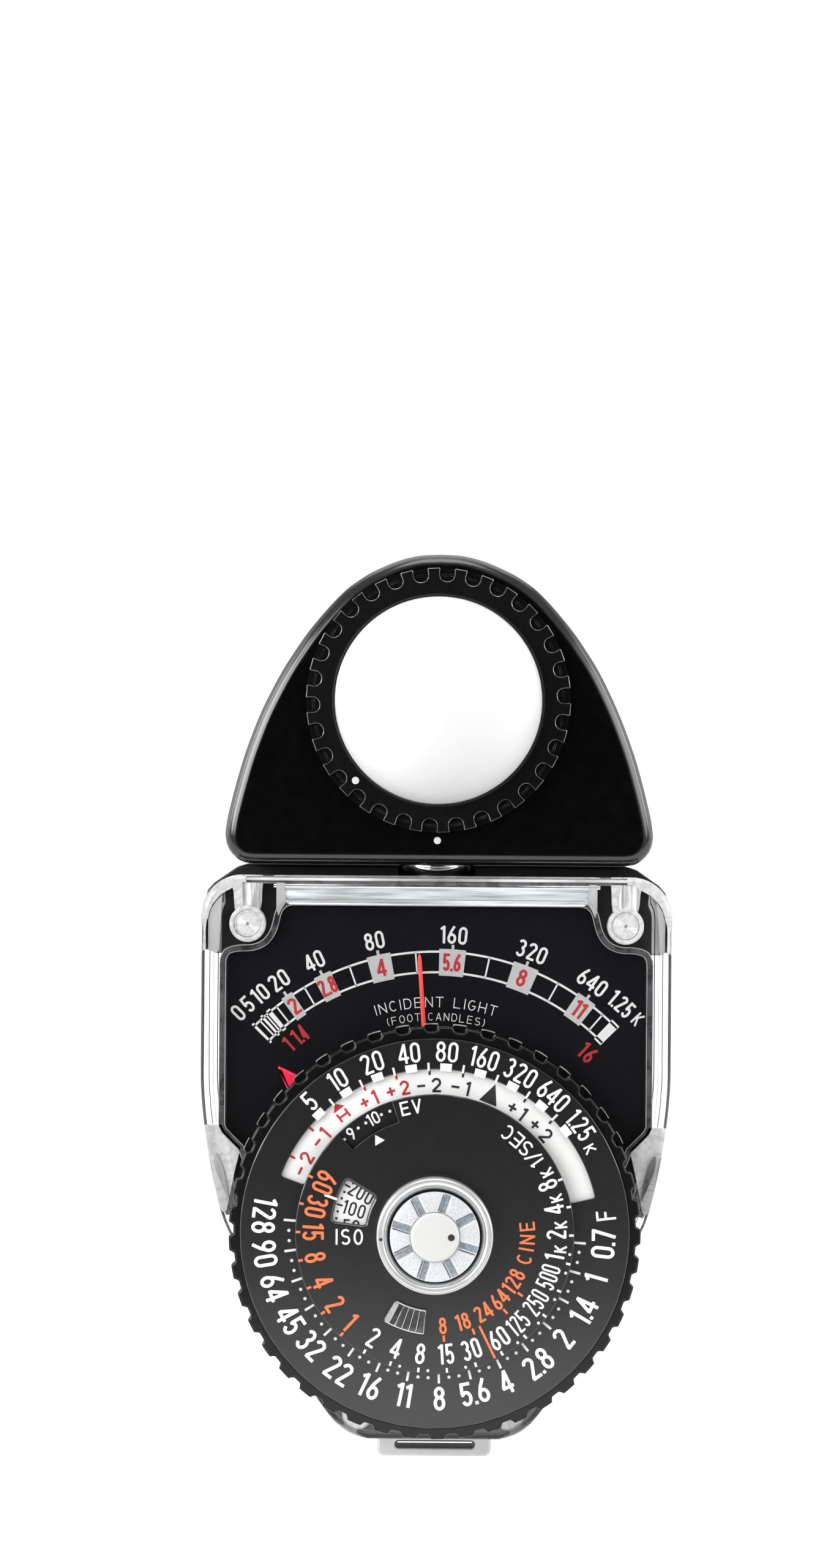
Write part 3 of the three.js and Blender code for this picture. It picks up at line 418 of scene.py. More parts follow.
CAD_LOOK = {
    "rear_cover": "satin", "mid_frame": "satin", "clear_front_cover": "clear", "scale_plate": "scale", "strap_lug": "steel", "strap_lug_pin": "steel",
    "case_screw_top_left": "steel", "case_screw_top_right": "steel", "case_screw_bottom_left": "steel", "case_screw_bottom_right": "steel",
    "magnet_yoke": "iron", "core_magnet": "iron", "core_bracket": "brass", "moving_coil": "copper", "pivot_front": "steel", "pivot_rear": "steel",
    "needle": "needle", "front_bridge": "brass", "rear_bridge": "brass", "jewel_screw_front": "brass", "jewel_screw_rear": "brass", "hairspring": "steel",
    "zero_adjust_arm": "brass", "zero_adjust_screw": "silver", "brake_leaf": "steel", "circuit_board": "board", "trim_resistor": "satin", "body_lead": "lead",
    "swivel_bearing": "brass", "swivel_stem": "steel", "stem_collar": "chrome", "wave_washer": "steel", "retaining_clip": "steel",
    "head_front_shell": "head", "head_rear_shell": "head", "head_screw_left": "steel", "head_screw_right": "steel", "bayonet_socket": "ring",
    "cell_mask": "ring", "photocell": "cell", "cell_contact_ring": "brass", "cell_retainer": "ring", "head_lead": "lead", "diffuser_dome": "dome",
    "diffuser_ring": "ring", "dial_hub": "brass", "memory_pointer": "red", "serrated_ring": "rim", "outer_dial_plate": "plate", "index_disc": "white",
    "shutter_disc": "plate", "film_speed_tab": "clear", "bezel_ring": "bezel", "button_plunger": "steel", "button_knob": "silver", "button_cap": "cap",
    "button_spring": "steel",
}
for node_name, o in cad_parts.items():
    look = M[CAD_LOOK.get(node_name, "steel")]
    if not o.data.materials:
        o.data.materials.append(look)
    for s in o.material_slots:
        s.link = 'OBJECT'
        s.material = look

# ------------------------------------------------------------------ outlines
low_arc = [pol(DIAL, 24.95, -52 + 48 * i / 12) for i in range(13)]
cover_half = ([(0, 1.85), (4, 1.85)] + spline([(8.2, 1.85), (10.2, 2.45), (11.9, 3.6), (13.5, 5.5), low_arc[0]])[:-1] + low_arc[:-1]
              + spline([low_arc[-1], (26.2, 28.8), (27.7, 34.6), (28.7, 40.6), (29.15, 45.5), (29.2, 50.5), (29.2, 58), (29.2, 66.7)], 1.2)[:-1]
              + corner((29.2, 60), (29.2, 71.7), (20, 71.7), 5.0, 12) + [(0, 71.7)])
rear_half = ([(0, 1.85), (4, 1.85)] + spline([(8.2, 1.85), (10.1, 2.5), (11.8, 3.7), (13.3, 5.6), pol(DIAL, 24.7, -52)])[:-1]
             + [pol(DIAL, 24.7, -52 + 48 * i / 12) for i in range(12)]
             + spline([pol(DIAL, 24.7, -4), (26.0, 28.9), (27.5, 34.7), (28.5, 40.7), (28.95, 45.5), (29.0, 50.5), (29.0, 58), (29.0, 68.6)], 1.2)[:-1]
             + [(29.0, 68.6), (28.8, 69.6), (28.0, 70.5)] + [(25.2, 72.45), (24.0, 72.8)] + [(0, 72.8)])
head_half = ([(0, 73.05)] + spline([(23.2, 73.05), (24.3, 73.2), (25.4, 73.8), (26.3, 74.85), (26.7, 76.2), (26.55, 78.15), (26.0, 80.7), (25.13, 84.0),
             (23.92, 88.04), (22.46, 92.06), (20.75, 95.9), (18.68, 99.5), (16.3, 103.05), (13.6, 106.2), (10.58, 108.8), (7.15, 110.65), (3.63, 111.5), (0, 111.7)], 0.6))
cavity_half = ([(0, 5.6), (8.0, 5.8)] + [pol(DIAL, 22.2, -66 + 78 * i / 16) for i in range(17)] + [(23.9, 37.9)]
               + [(26.0, 40.0), (26.3, 40.6), (26.3, 60.7)] + spline([(26.25, 61.2), (25.9, 61.9), (25.2, 62.2), (24.4, 62.32), (22.9, 62.4), (21.9, 62.7), (21.0, 63.3),
               (20.2, 64.4), (19.75, 65.7), (19.55, 66.6), (19.2, 67.45), (18.7, 67.9), (18.0, 68.1)], 0.35) + [(0, 68.1)])
COVER, REAR, HEAD, CAVITY = (np.array(mirror(h)) for h in (cover_half, rear_half, head_half, cavity_half))
# the head is a little off the dial's axis, and narrower towards its top
HEAD = np.stack([HEAD[:, 0] * np.interp(HEAD[:, 1], [74, 86, 92, 95, 98.3, 101.4, 104.4, 107.5, 109.3, 110.5, 111.2, 111.7], [0.997, 0.998, 0.991, 0.984, 0.981, 0.973, 0.958, 0.95, 0.91, 0.84, 0.80, 0.80])
                 + np.interp(HEAD[:, 1], [74, 92, 98, 108, 111.7], [0.24, 0.25, 0.33, 0.34, 0.22]), HEAD[:, 1]], 1)

# ------------------------------------------------------------------ case
SCREW_TOP, SCREW_LOW = (23.5, 65.6), (9.4, 4.5)


def ridge(c, w, y, h, open_top=None):
    """A fine raised line, triangular in section, along a closed outline."""
    c = ccw(c)
    rings = [offset(c, -w / 2), c, offset(c, w / 2)]
    verts, n = [], len(c)
    for ring, yy in zip(rings, (y, y - h, y)):
        verts += [(float(p[0]), yy, float(p[1])) for p in ring]
    faces = []
    for j in range(3):
        a, b = j * n, (j + 1) % 3 * n
        faces += [(a + i, a + (i + 1) % n, b + (i + 1) % n, b + i) for i in range(n)]
    return verts, faces


cc = ccw(COVER)
e1, e2 = cc - np.roll(cc, 1, 0), np.roll(cc, -1, 0) - cc
e1, e2 = e1 / np.linalg.norm(e1, axis=1, keepdims=True), e2 / np.linalg.norm(e2, axis=1, keepdims=True)
tangent = e1 + e2
tangent /= np.linalg.norm(tangent, axis=1, keepdims=True)
side = np.clip((np.abs(tangent[:, 1]) - 0.35) / 0.5, 0, 1)
side = 0.14 + 0.86 * side * side * (3 - 2 * side)
side = np.where(cc[:, 1] < 13, 0.14 + (side - 0.14) * np.clip((cc[:, 1] - 9) / 4, 0, 1), side)
rear_steps = [(0, 0.3), (0.2, 0.3), (0.95, -0.45), (1.05, -0.45), (1.5, -0.9), (1.54, -0.9), (2.0, -1.36), (2.12, -1.36), (2.45, -1.69), (2.5, -2.5), (2.6, -2.5)]
front_steps = edge(-4.0, 0.3, 0.8, 0, 5)[:-1]
n_front = len(front_steps)
cover_rings = plate(cc, [circle(DIAL, 4.4, 40)[::-1]], front_steps + rear_steps, [(0.0, -4.0 + 1.5 * i / (n_front + len(rear_steps) - 1)) for i in range(n_front + len(rear_steps))])
verts = cover_rings[0]
n = len(cc)
for k, (ins, y) in enumerate(rear_steps):
    ring = offset(cc, ins * side)
    for i in range(n):
        verts[(n_front + k) * n + i] = (float(ring[i][0]), y, float(ring[i][1]))
verts_flat, faces_c = cover_rings
# the back cap is filled again from the moved ring
keep = [f for f in faces_c if not all((n_front + len(rear_steps) - 1) * n <= i < (n_front + len(rear_steps)) * n or i >= len(verts) - 40 for i in f)]
last = list(range((n_front + len(rear_steps) - 1) * n, (n_front + len(rear_steps)) * n))
hole = list(range(len(verts) - 40, len(verts)))
flat = last + hole
keep += [tuple(flat[i] for i in t) for t in tessellate_polygon([[Vector((verts[i][0], verts[i][2], 0)) for i in l] for l in (last, hole)])]
cover = make("clear_front_cover_fine", (verts, keep), M["clear"], "case", nodes=["clear_front_cover"])
for s in (-1, 1):
    c = (s * SCREW_TOP[0], SCREW_TOP[1])
    boolean(cover, lathe([(0, -5), (1.7, -5), (1.62, -4.0), (1.5, -3.86), (0.24, -3.42), (0.2, -3.2), (0, -3.2)], c, 48))


def relief(points, a0, a1, across):
    """A solid bar with a stepped or ridged front. points are (position across, y); the bar runs from a0 to a1."""
    back = 0.25
    prof = list(points) + [(points[-1][0], back), (points[0][0], back)]
    verts = []
    for e in (a0, a1):
        for p, y in prof:
            verts.append((p, y, e) if across == 'x' else (e, y, p))
    m = len(prof)
    faces = [tuple(range(m)), tuple(range(2 * m - 1, m - 1, -1))]
    faces += [(i, (i + 1) % m, m + (i + 1) % m, m + i) for i in range(m)]
    return verts, faces


def fill(name, pts, y, mat, back=0.2):
    make(name, plate(pts, [], [(0, y), (0, back)]), mat, "case", 20)


# painted light caught in the top wall and the corners: a band of painted streaked light, mirror-like painted glints
# along its edges, and the posts and their necks painted bright
fill("cover_top_band", [(-18.5, 68.15), (18.5, 68.15), (19.3, 68.5), (19.7, 69.2), (19.8, 70.15), (-19.8, 70.15), (-19.7, 69.2), (-19.3, 68.5)], -1.95, M["streaked_light_h"])
top_land = [(70.1, -1.9), (70.14, -2.02), (70.32, -2.12), (70.44, -2.06), (70.56, -1.96), (70.6, -1.9)]
make("cover_top_glint_lower", relief(top_land, -20.3, 20.3, 'z'), M["glint"], "case", 10)
fill("cover_top_strip", [(-24.6, 70.84), (24.6, 70.84), (24.6, 71.12), (-24.6, 71.12)], -1.95, M["streaked_light_h"])
top_land = [(71.16, -1.9), (71.2, -2.0), (71.3, -2.16), (71.36, -2.12), (71.4, -1.9)]
make("cover_top_glint_upper", relief(top_land, -24.4, 24.4, 'z'), M["glint"], "case", 10)
make("cover_band_glint", relief([(68.02, -1.9), (68.04, -2.02), (68.14, -2.08), (68.22, -2.02), (68.24, -1.9)], -18.4, 18.4, 'z'), M["glint"], "case", 10)
rim_path = [(p[0], p[1]) for p in offset(ccw(COVER), 0.5) if p[0] > 23.5 and p[1] > 62.3]
rim_path.sort(key=lambda p: math.atan2(p[1] - 60, p[0] - 18))
for s in (-1, 1):
    side_name = "right" if s > 0 else "left"
    x0 = SCREW_TOP[0]
    # painted bright corner, light caught in the clear moulding, from the top strip round to the side wall
    inner = spline([(28.5, 62.3), (28.45, 66.0), (28.15, 67.4), (27.5, 68.5), (26.6, 69.4), (25.7, 69.9), (25.1, 70.3), (24.2, 70.75)], 0.5)
    pts = rim_path + [(23.6, 70.75)] + inner[::-1]
    fill("cover_corner_" + side_name, [(s * x, z) for x, z in pts], -2.1, M["bright_light_fill"])
    # painted paler band of light inside the side wall, shaped differently on the left and right
    pts = [(28.4, 62.35), (28.4, 66.0), (28.1, 67.35), (27.45, 68.4), (26.7, 69.15), (26.85, 66.0), (27.0, 62.3), (27.4, 61.9)] if s < 0 else \
          [(28.4, 62.35), (28.4, 66.0), (28.1, 67.35), (27.45, 68.4), (27.3, 68.5), (27.55, 66.0), (27.75, 62.3), (27.9, 62.0)]
    fill("cover_wall_light_" + side_name, [(s * x, z) for x, z in pts], -2.0, M["half_light_fill"])
    # neck of the screw post, narrower at its middle, in painted streaked light, with a painted highlight along its
    # left-hand side
    neck = [(x0 - 1.85, 70.7), (x0 - 1.75, 69.6), (x0 - 1.72, 68.2), (x0 - 1.5, 67.3), (x0 + 1.5, 67.3), (x0 + 1.7, 68.2), (x0 + 1.8, 69.6), (x0 + 2.1, 70.7)]
    fill("cover_neck_" + side_name, [(s * x, z) for x, z in neck], -2.05, M["streaked_light_v"])
    fill("cover_neck_light_" + side_name, [(s * x, z) for x, z in ([(x0 + 0.55, 67.4), (x0 + 1.62, 67.4), (x0 + 1.75, 69.6), (x0 + 2.1, 70.72), (x0 + 0.75, 70.72)] if s < 0 else
         [(x0 - 1.62, 67.4), (x0 - 1.0, 67.4), (x0 - 1.05, 69.0), (x0 - 0.8, 70.72), (x0 - 1.85, 70.72), (x0 - 1.75, 69.6)])], -2.15, M["bright_light_fill"])
    # gusset between the top band and the pocket, in painted half light
    fill("cover_gusset_" + side_name, [(s * x, z) for x, z in [(18.75, 68.35), (19.25, 67.6), (19.7, 66.6), (19.95, 67.6), (19.95, 70.72), (18.9, 70.72)]], -2.1, M["half_light_fill"])
    # post with its pointed screw hole, and the lower posts below, painted bright as light caught in the clear moulding
    make("cover_boss_" + side_name, lathe([(0, -2.05), (0.16, -2.05), (0.2, -2.34), (0.3, -2.36), (1.0, -2.2), (1.7, -2.06), (1.74, -2.14), (1.8, -2.3), (1.9, -2.34), (2.16, -2.3), (2.26, -2.2), (2.28, -2.05), (2.28, 0.25), (1.2, 0.25), (1.05, -1.2), (0, -1.2)],
         (s * x0, SCREW_TOP[1]), 72), M["bright_light_fill"], "case", 28)
    make("cover_boss_low_" + side_name, lathe([(0, -1.7), (0.9, -2.0), (1.7, -1.9), (1.9, -1.7), (1.9, 0.25), (1.1, 0.25), (1.0, -1.0), (0, -1.0)],
         (s * SCREW_LOW[0], SCREW_LOW[1] + 0.2), 48), M["bright_light_fill"], "case", 28)
# darker band between the two lines of the moulded step, in painted faint light, with the two lines drawn as painted
# highlights
cav = ccw(CAVITY)
step_band = plate(offset(cav, -0.62), [offset(cav, 0.1)[::-1]], [(0, -1.9), (0, -1.2)], [(0, -1.9), (0, -1.2)])
make("cover_step_band", step_band, M["faint_light_fill"], "case", 10)
make("cover_cavity_line_outer", ridge(offset(ccw(CAVITY), -0.62), 0.11, -2.28, 0.08), M["half_light_fill"], "case", 10)
make("cover_cavity_line_inner", ridge(offset(ccw(CAVITY), 0.12), 0.09, -2.2, 0.07), M["half_light_fill"], "case", 10)

# painted light along the bottom rim of the clear cover
low = [p for p in offset(ccw(COVER), 0.22) if p[1] < 9.5]
low.sort(key=lambda p: p[0])
low_in = [p for p in offset(ccw(COVER), 0.52) if p[1] < 9.5]
low_in.sort(key=lambda p: -p[0])
fill("cover_bottom_rim", [(float(p[0]), float(p[1])) for p in low + low_in], -2.2, M["bright_light_fill"])
# painted highlight in the gap between the cover and the head
fill("cover_gap_light", [(-24.4, 70.62), (24.4, 70.62), (24.4, 70.82), (-24.4, 70.82)], -1.9, M["dim_light_fill"])
# painted light in the lower side walls, with a lens-shaped patch in each, painted lighter on the left than on the right
for s in (-1, 1):
    side_name = "right" if s > 0 else "left"
    fill("cover_wall_low_" + side_name, [(s * x, z) for x, z in [(25.95, 29.2), (27.05, 34.6), (27.75, 38.4), (28.0, 40.6), (26.55, 40.6), (26.2, 39.8), (24.2, 37.8), (24.95, 34.6), (25.65, 31.0)]], -1.9, M["bright_light_fill"])
    lens = spline([(25.75, 31.5), (26.65, 33.6), (27.2, 35.6), (27.4, 37.0)], 0.5) + spline([(27.25, 37.1), (26.5, 35.8), (25.95, 33.6), (25.62, 31.6)], 0.5)
    fill("cover_wall_lens_" + side_name, [(s * x, z) for x, z in lens], -2.1, M["dim_light_fill"] if s > 0 else M["half_light_fill"])

scale_outline = np.array(mirror([(x, z) for x, z in cavity_half]))
make("scale_plate_fine", plate(offset(ccw(scale_outline), 0.3), [circle(MOVE, 1.8, 32)[::-1]], [(0, -0.2), (0, 0.3)]), M["scale"], "case",
     nodes=["scale_plate"])
mid = make("mid_frame_fine", plate(offset(ccw(COVER), 0.4), [circle(MOVE, 9.4, 40)[::-1]] + [circle((s * p[0], p[1]), 1.2, 20)[::-1] for s in (-1, 1) for p in (SCREW_TOP, SCREW_LOW)],
           edge(0.6, 4.0, 0.3, 0.3, 3), [(0, 0.6), (0, 4.0)]), M["satin"], "case", nodes=["mid_frame"])
boolean(mid, box_geo(-6.4, 6.4, 0.86, 5, 65.6, 71.05))
rear = make("rear_cover_fine", plate(REAR, [], edge(4.3, 17.0, 0.25, 1.0, 6)), M["satin"], "case", nodes=["rear_cover"])
boolean(rear, plate(offset(ccw(REAR), 1.8), [], [(0, 3.3), (0, 15.0)]))
for s in (-1, 1):
    for p, r0 in ((SCREW_TOP, 2.6), (SCREW_LOW, 1.9)):
        c = (s * p[0], p[1])
        boolean(rear, lathe([(0, 4.3), (r0, 4.3), (r0, 15.5), (0, 15.5)], c, 28), 'UNION')
for s in (-1, 1):
    for p in (SCREW_TOP, SCREW_LOW):
        c = (s * p[0], p[1])
        boolean(rear, lathe([(0, 0), (1.1, 0), (1.1, 15.7), (1.75, 15.7), (1.75, 18), (0, 18)], c, 28))
boolean(rear, lathe([(0, 69), (5.0, 69), (5.0, 75), (0, 75)], SWIVEL, 40, axis='z'))
boolean(rear, box_geo(-7.43, 7.43, 5.15, 9.65, -1, 5.9))
boolean(rear, lathe([(0, 13), (1.4, 13), (1.4, 15.9), (2.6, 15.9), (2.6, 18), (0, 18)], (0, 37.6), 32))
def shifted(pts, dx):
    return [(x + dx, z) for x, z in pts]


slot_pts = ([(4.555 + 0.475 * math.cos(rad(a)), -0.125 + 0.475 * math.sin(rad(a))) for a in range(-90, 91, 15)]
            + [(-4.555 - 0.475 * math.cos(rad(a)), -0.125 - 0.475 * math.sin(rad(a))) for a in range(-90, 91, 15)])
lug = make("strap_lug_fine", plate(
    shifted([(-7.18, 5.6)] + corner((-7.18, 5), (-7.18, -1.6), (0, -1.6), 0.9, 6) + corner((0, -1.6), (7.18, -1.6), (7.18, 5), 0.9, 6) + [(7.18, 5.6)], 0.2),
    [shifted(slot_pts, 0.3)],
    edge(5.4, 9.4, 0.35, 0.35, 4), edge(5.4, 9.4, 0.2, 0.2, 3)), M["lug"], "case", nodes=["strap_lug"])
# painted shade: a dark lining on the slot's inner walls, where shadow falls
make("strap_lug_slot_painted_shade", plate(shifted([tuple(q) for q in offset(ccw(np.array(slot_pts)), 0.01)], 0.3), [shifted([tuple(q) for q in offset(ccw(np.array(slot_pts)), 0.13)], 0.3)[::-1]],
     [(0, 5.62), (0, 9.2)], [(0, 5.62), (0, 9.2)]), M["satin"], "case", 30)
tube = lathe([(0, -9), (0.8, -9), (0.8, 9), (0, 9)], (0, 0), 20, axis='z')
boolean(lug, ([(v[2], v[0] + 7.4, v[1] + 3.6) for v in tube[0]], tube[1]))

# ------------------------------------------------------------------ swivel collar
make("stem_collar_fine", lathe([(3.0, 71.45), (3.3, 71.4), (3.6, 71.42), (4.1, 71.68), (4.5, 72.2), (4.68, 72.7), (4.7, 72.95), (4.65, 73.0), (3.0, 73.0)],
     SWIVEL, 64, axis='z'), M["chrome"], "head", nodes=["stem_collar"])

# ------------------------------------------------------------------ head
HEAD_SCREW = (17.5, 79.0)
hf = make("head_front_fine", plate(HEAD, [], edge(-2.6, 5.25, 1.5, 0.12, 6)), M["head"], "head", nodes=["head_front_shell"])
boolean(hf, plate(offset(ccw(HEAD), 1.6), [], [(0, -1.0), (0, 7)]))
boolean(hf, lathe([(0, -4), (15.6, -4), (15.6, -2.7), (15.35, -2.4), (15.35, 0), (0, 0)], CELL, 96))
boolean(hf, lathe([(0, 70), (3.1, 70), (3.1, 75), (0, 75)], SWIVEL, 40, axis='z'))
for s in (-1, 1):
    boolean(hf, lathe([(0, -1.6), (2.2, -1.6), (2.2, 5.25), (1.05, 5.25), (1.05, 0.4), (0, 0.4)], (s * 17.5, 79), 28), 'UNION')
hf.data.materials.append(M["head_edge"])
for q in hf.data.polygons:
    m_ = q.center / MM
    if 0.06 < abs(q.normal.y) < 0.998 and m_.y < -1.05 and math.hypot(m_.x - CELL[0], m_.z - LIFT - CELL[1]) > 16.2:
        q.material_index = 1
hb = make("head_rear_fine", plate(HEAD, [], edge(5.45, 13.4, 0.12, 1.5, 6)), M["head"], "head", nodes=["head_rear_shell"])
boolean(hb, plate(offset(ccw(HEAD), 1.6), [], [(0, 4), (0, 11.8)]))
boolean(hb, lathe([(0, 70), (3.1, 70), (3.1, 75), (0, 75)], SWIVEL, 40, axis='z'))
for s in (-1, 1):
    boolean(hb, lathe([(0, 5.45), (2.5, 5.45), (2.5, 12.4), (0, 12.4)], (s * 17.5, 79), 28), 'UNION')
    boolean(hb, lathe([(0, 4), (1.1, 4), (1.1, 12.2), (1.95, 12.2), (1.95, 15), (0, 15)], (s * 17.5, 79), 28))


def notched(c, r_out, depth, half, notches, n_arc=4, bottom=0.55):
    """Outline of a disc with U notches cut in from its edge."""
    pts = []
    step = 360 / len(notches)
    for a in notches:
        ha = math.degrees(math.asin(half / r_out))
        u = []
        rb = bottom
        u.append((r_out, -half - 0.12))
        u.append((r_out - 0.1, -half))
        for k in range(5):
            t = math.pi / 2 * k / 4
            u.append((r_out - depth + rb * (1 - math.sin(t)), -half + rb * (1 - math.cos(t))))
        for k in range(5):
            t = math.pi / 2 * k / 4
            u.append((r_out - depth + rb * (1 - math.cos(t)), half - rb * (1 - math.sin(t))))
        u.append((r_out - 0.1, half))
        u.append((r_out, half + 0.12))
        for q, o in u:
            rr = math.hypot(q, 0)
            p = (c[0] + q * math.cos(rad(a)) - o * math.sin(rad(a)), c[1] + q * math.sin(rad(a)) + o * math.cos(rad(a)))
            pts.append(p)
        for k in range(1, n_arc):
            pts.append(pol(c, r_out, a + ha + 0.6 + (step - 2 * ha - 1.2) * k / n_arc))
    return pts


notch_a = [86 + TILT + 12 * i for i in range(30)]
upper = plate(notched(CELL, 16.4, 1.65, 0.9, notch_a, bottom=0.82), [circle(CELL, 12.98, 120)[::-1]], edge(-4.5, -3.75, 0.12, 0, 2), edge(-4.5, -3.75, 0.22, 0, 3))
step2 = plate(notched(CELL, 16.4, 0.75, 0.9, notch_a, bottom=0.3), [circle(CELL, 12.98, 120)[::-1]], [(0, -3.75), (0, -3.3)], [(0, -3.75), (0, -3.3)])
ring_o = make("diffuser_ring_fine", upper, M["ring"], "diffuser", nodes=["diffuser_ring"])
# painted highlight lines round the notched edge of the ring and across the steps in its notches
make("diffuser_ring_edge", ridge(offset(ccw(np.array(notched(CELL, 16.4, 1.65, 0.9, notch_a, bottom=0.82))), 0.06), 0.09, -4.49, 0.05), M["edge"], "diffuser", 10)
make("diffuser_ring_step_edge", merged(*[plate([along(CELL, r, -0.72, t), along(CELL, r + w_, -0.72, t), along(CELL, r + w_, 0.72, t), along(CELL, r, 0.72, t)], [], [(0, -3.83), (0, -3.7)])
     for t in notch_a for r, w_ in ((15.38, 0.09), (15.62, 0.07))]), M["edge"], "diffuser", 10)
make("diffuser_ring_step", step2, M["ring"], "diffuser")
make("diffuser_ring_base", merged(lathe([(13.8, -3.3), (16.4, -3.3), (16.4, -2.95), (16.3, -2.9), (14.3, -2.9), (14.3, 0.9), (13.8, 0.9)], CELL, 120),
     *[plate(sector(CELL, 14.2, 15.25, 20 + 120 * i, 40 + 120 * i), [], [(0, 0.3), (0, 0.9)]) for i in range(3)]), M["ring"], "diffuser")
dome = []
yc = -17 + 12.85
for i in range(25):
    t = i / 24 * math.pi / 2
    dome.append((0 if i == 0 else 12.85 * math.sin(t), yc - 12.85 * math.cos(t)))
dome += [(12.85, -3.6), (13.0, -3.5), (13.6, -3.5), (13.6, -2.75), (11.75, -2.75)]
for i in range(17, -1, -1):
    t = i / 18 * math.pi / 2
    dome.append((0 if i == 0 else 11.75 * math.sin(t), yc - 11.75 * math.cos(t)))
make("diffuser_dome_fine", lathe(dome, CELL, 128), M["dome"], "diffuser", 40, nodes=["diffuser_dome"])

# ------------------------------------------------------------------ needle, roof shaped, with its hub and counterweight
NA, NR = 93.85, 31.65


def needle_ring(r, half, y_edge, y_top):
    return [along(MOVE, r, -half, NA) + (y_edge,), along(MOVE, r, 0.0, NA) + (y_top,), along(MOVE, r, half, NA) + (y_edge,), along(MOVE, r, 0.0, NA) + (y_edge + 0.12,)]


rings = [needle_ring(r, h, -0.86, -0.86 - 0.32 * h) for r, h in ((-3.3, 0.3), (0, 0.34), (10, 0.30), (20, 0.27), (NR - 1.0, 0.25), (NR - 0.35, 0.19), (NR - 0.1, 0.1), (NR, 0.03))]
v = [(q[0], q[2], q[1]) for ring in rings for q in ring]
f = [tuple(range(4)), tuple(range(4 * len(rings) - 1, 4 * len(rings) - 5, -1))]
for k in range(len(rings) - 1):
    f += [(4 * k + i, 4 * k + (i + 1) % 4, 4 * k + 4 + (i + 1) % 4, 4 * k + 4 + i) for i in range(4)]
make("needle_fine", merged((v, f), lathe([(0, -0.97), (1.0, -0.97), (1.2, -0.85), (1.2, -0.42), (0, -0.42)], MOVE, 40),
     plate([along(MOVE, -3.2, -1, NA), along(MOVE, -3.2, 1, NA), along(MOVE, -4.6, 1, NA), along(MOVE, -4.6, -1, NA)], [], edge(-0.95, -0.62, 0.08, 0.08, 2))),
     M["needle"], "moving_coil", 20, nodes=["needle"])

# ------------------------------------------------------------------ calculator dial
a = 133.55 + TILT


# memory pointer: arm and ring in one sheet, its head a raised wedge
tip_h = 27.9 - 23.6
ptr = [along(DIAL, 8.6, -1.4, a), along(DIAL, 23.8, -1.72, a), along(DIAL, 28.05, -0.08, a), along(DIAL, 28.12, 0.0, a), along(DIAL, 28.05, 0.08, a), along(DIAL, 23.8, 1.72, a), along(DIAL, 8.6, 1.4, a)]
ring_pts = [p for p in circle(DIAL, 9.0, 72) if abs(((math.degrees(math.atan2(p[1] - DIAL[1], p[0] - DIAL[0])) - a + 180) % 360) - 180) > 10]
ring_pts.sort(key=lambda p: (math.degrees(math.atan2(p[1] - DIAL[1], p[0] - DIAL[0])) - a) % 360)
make("memory_pointer_fine", plate(ptr[:] + ring_pts, [circle(DIAL, 6.2, 60)[::-1]], edge(-4.92, -4.25, 0.3, 0, 3), edge(-4.92, -4.25, 0.1, 0, 1)),
     M["red"], "memory_pointer", nodes=["memory_pointer"])

PHASE = 3.3
R_TOP, R_LOW = 25.42, 24.85
tooth = []
for i in range(45):
    t = PHASE + 8 * i                       # valley centre
    for r, o in ((R_LOW, -1.1), (R_LOW - 0.01, 0.0), (R_LOW, 1.1), (R_LOW + 0.2, 1.55), (R_TOP - 0.05, 2.0), (R_TOP, 2.2), (R_TOP, 3.2), (R_TOP, 4.0), (R_TOP, 4.8), (R_TOP, 5.8), (R_TOP - 0.05, 6.0), (R_LOW + 0.2, 6.45)):
        tooth.append(pol(DIAL, r, t + o))
tooth = np.array(tooth)
rim = plate(tooth, [circle(DIAL, 23.95, 180)[::-1]], edge(-7.35, -5.1, 0.3, 0.1, 5), [(0, -7.35), (0, -5.1)])
rim = merged(rim, lathe([(21.2, -5.1), (21.2, -7.42), (23.7, -7.42), (24.1, -7.5), (24.1, -5.1)], DIAL, 180))
# small dark ledges behind the valleys of the upper half, with painted highlight lines on their edges, wider and doubled
# near the top
ledges, lip_highlights = [], []
for k in range(3, 20):
    t = PHASE + 8 * k
    ledges.append(plate([pol(DIAL, 24.2, t - 1.5), pol(DIAL, 25.55, t - 2.0), pol(DIAL, 25.72, t - 1.8), pol(DIAL, 25.76, t), pol(DIAL, 25.72, t + 1.8), pol(DIAL, 25.55, t + 2.0), pol(DIAL, 24.2, t + 1.5)][::-1],
                        [], [(0, -5.5), (0, -5.12)]))
    wide = 0.13 if 45 < t < 130 else 0.09
    lip_highlights.append(plate([pol(DIAL, 25.75 - wide, t - 1.8), pol(DIAL, 25.75, t - 1.8), pol(DIAL, 25.79, t), pol(DIAL, 25.75, t + 1.8), pol(DIAL, 25.7, t + 1.98), pol(DIAL, 25.5, t + 2.03), pol(DIAL, 25.5, t + 1.9), pol(DIAL, 25.75 - wide, t + 1.7), pol(DIAL, 25.79 - wide, t)][::-1],
                      [], [(0, -5.6), (0, -5.3)]))
    if 45 < t < 130:
        lip_highlights.append(plate([pol(DIAL, 25.35, t - 1.95), pol(DIAL, 25.55, t - 1.9), pol(DIAL, 25.0, t - 1.5), pol(DIAL, 24.92, t - 1.62)][::-1], [], [(0, -5.6), (0, -5.3)]))
make("serrated_ring_ledges", merged(*ledges), M["rim"], "exposure_dial", 20)
make("serrated_ring_painted_highlights", merged(*lip_highlights), M["edge_light"], "exposure_dial", 20)
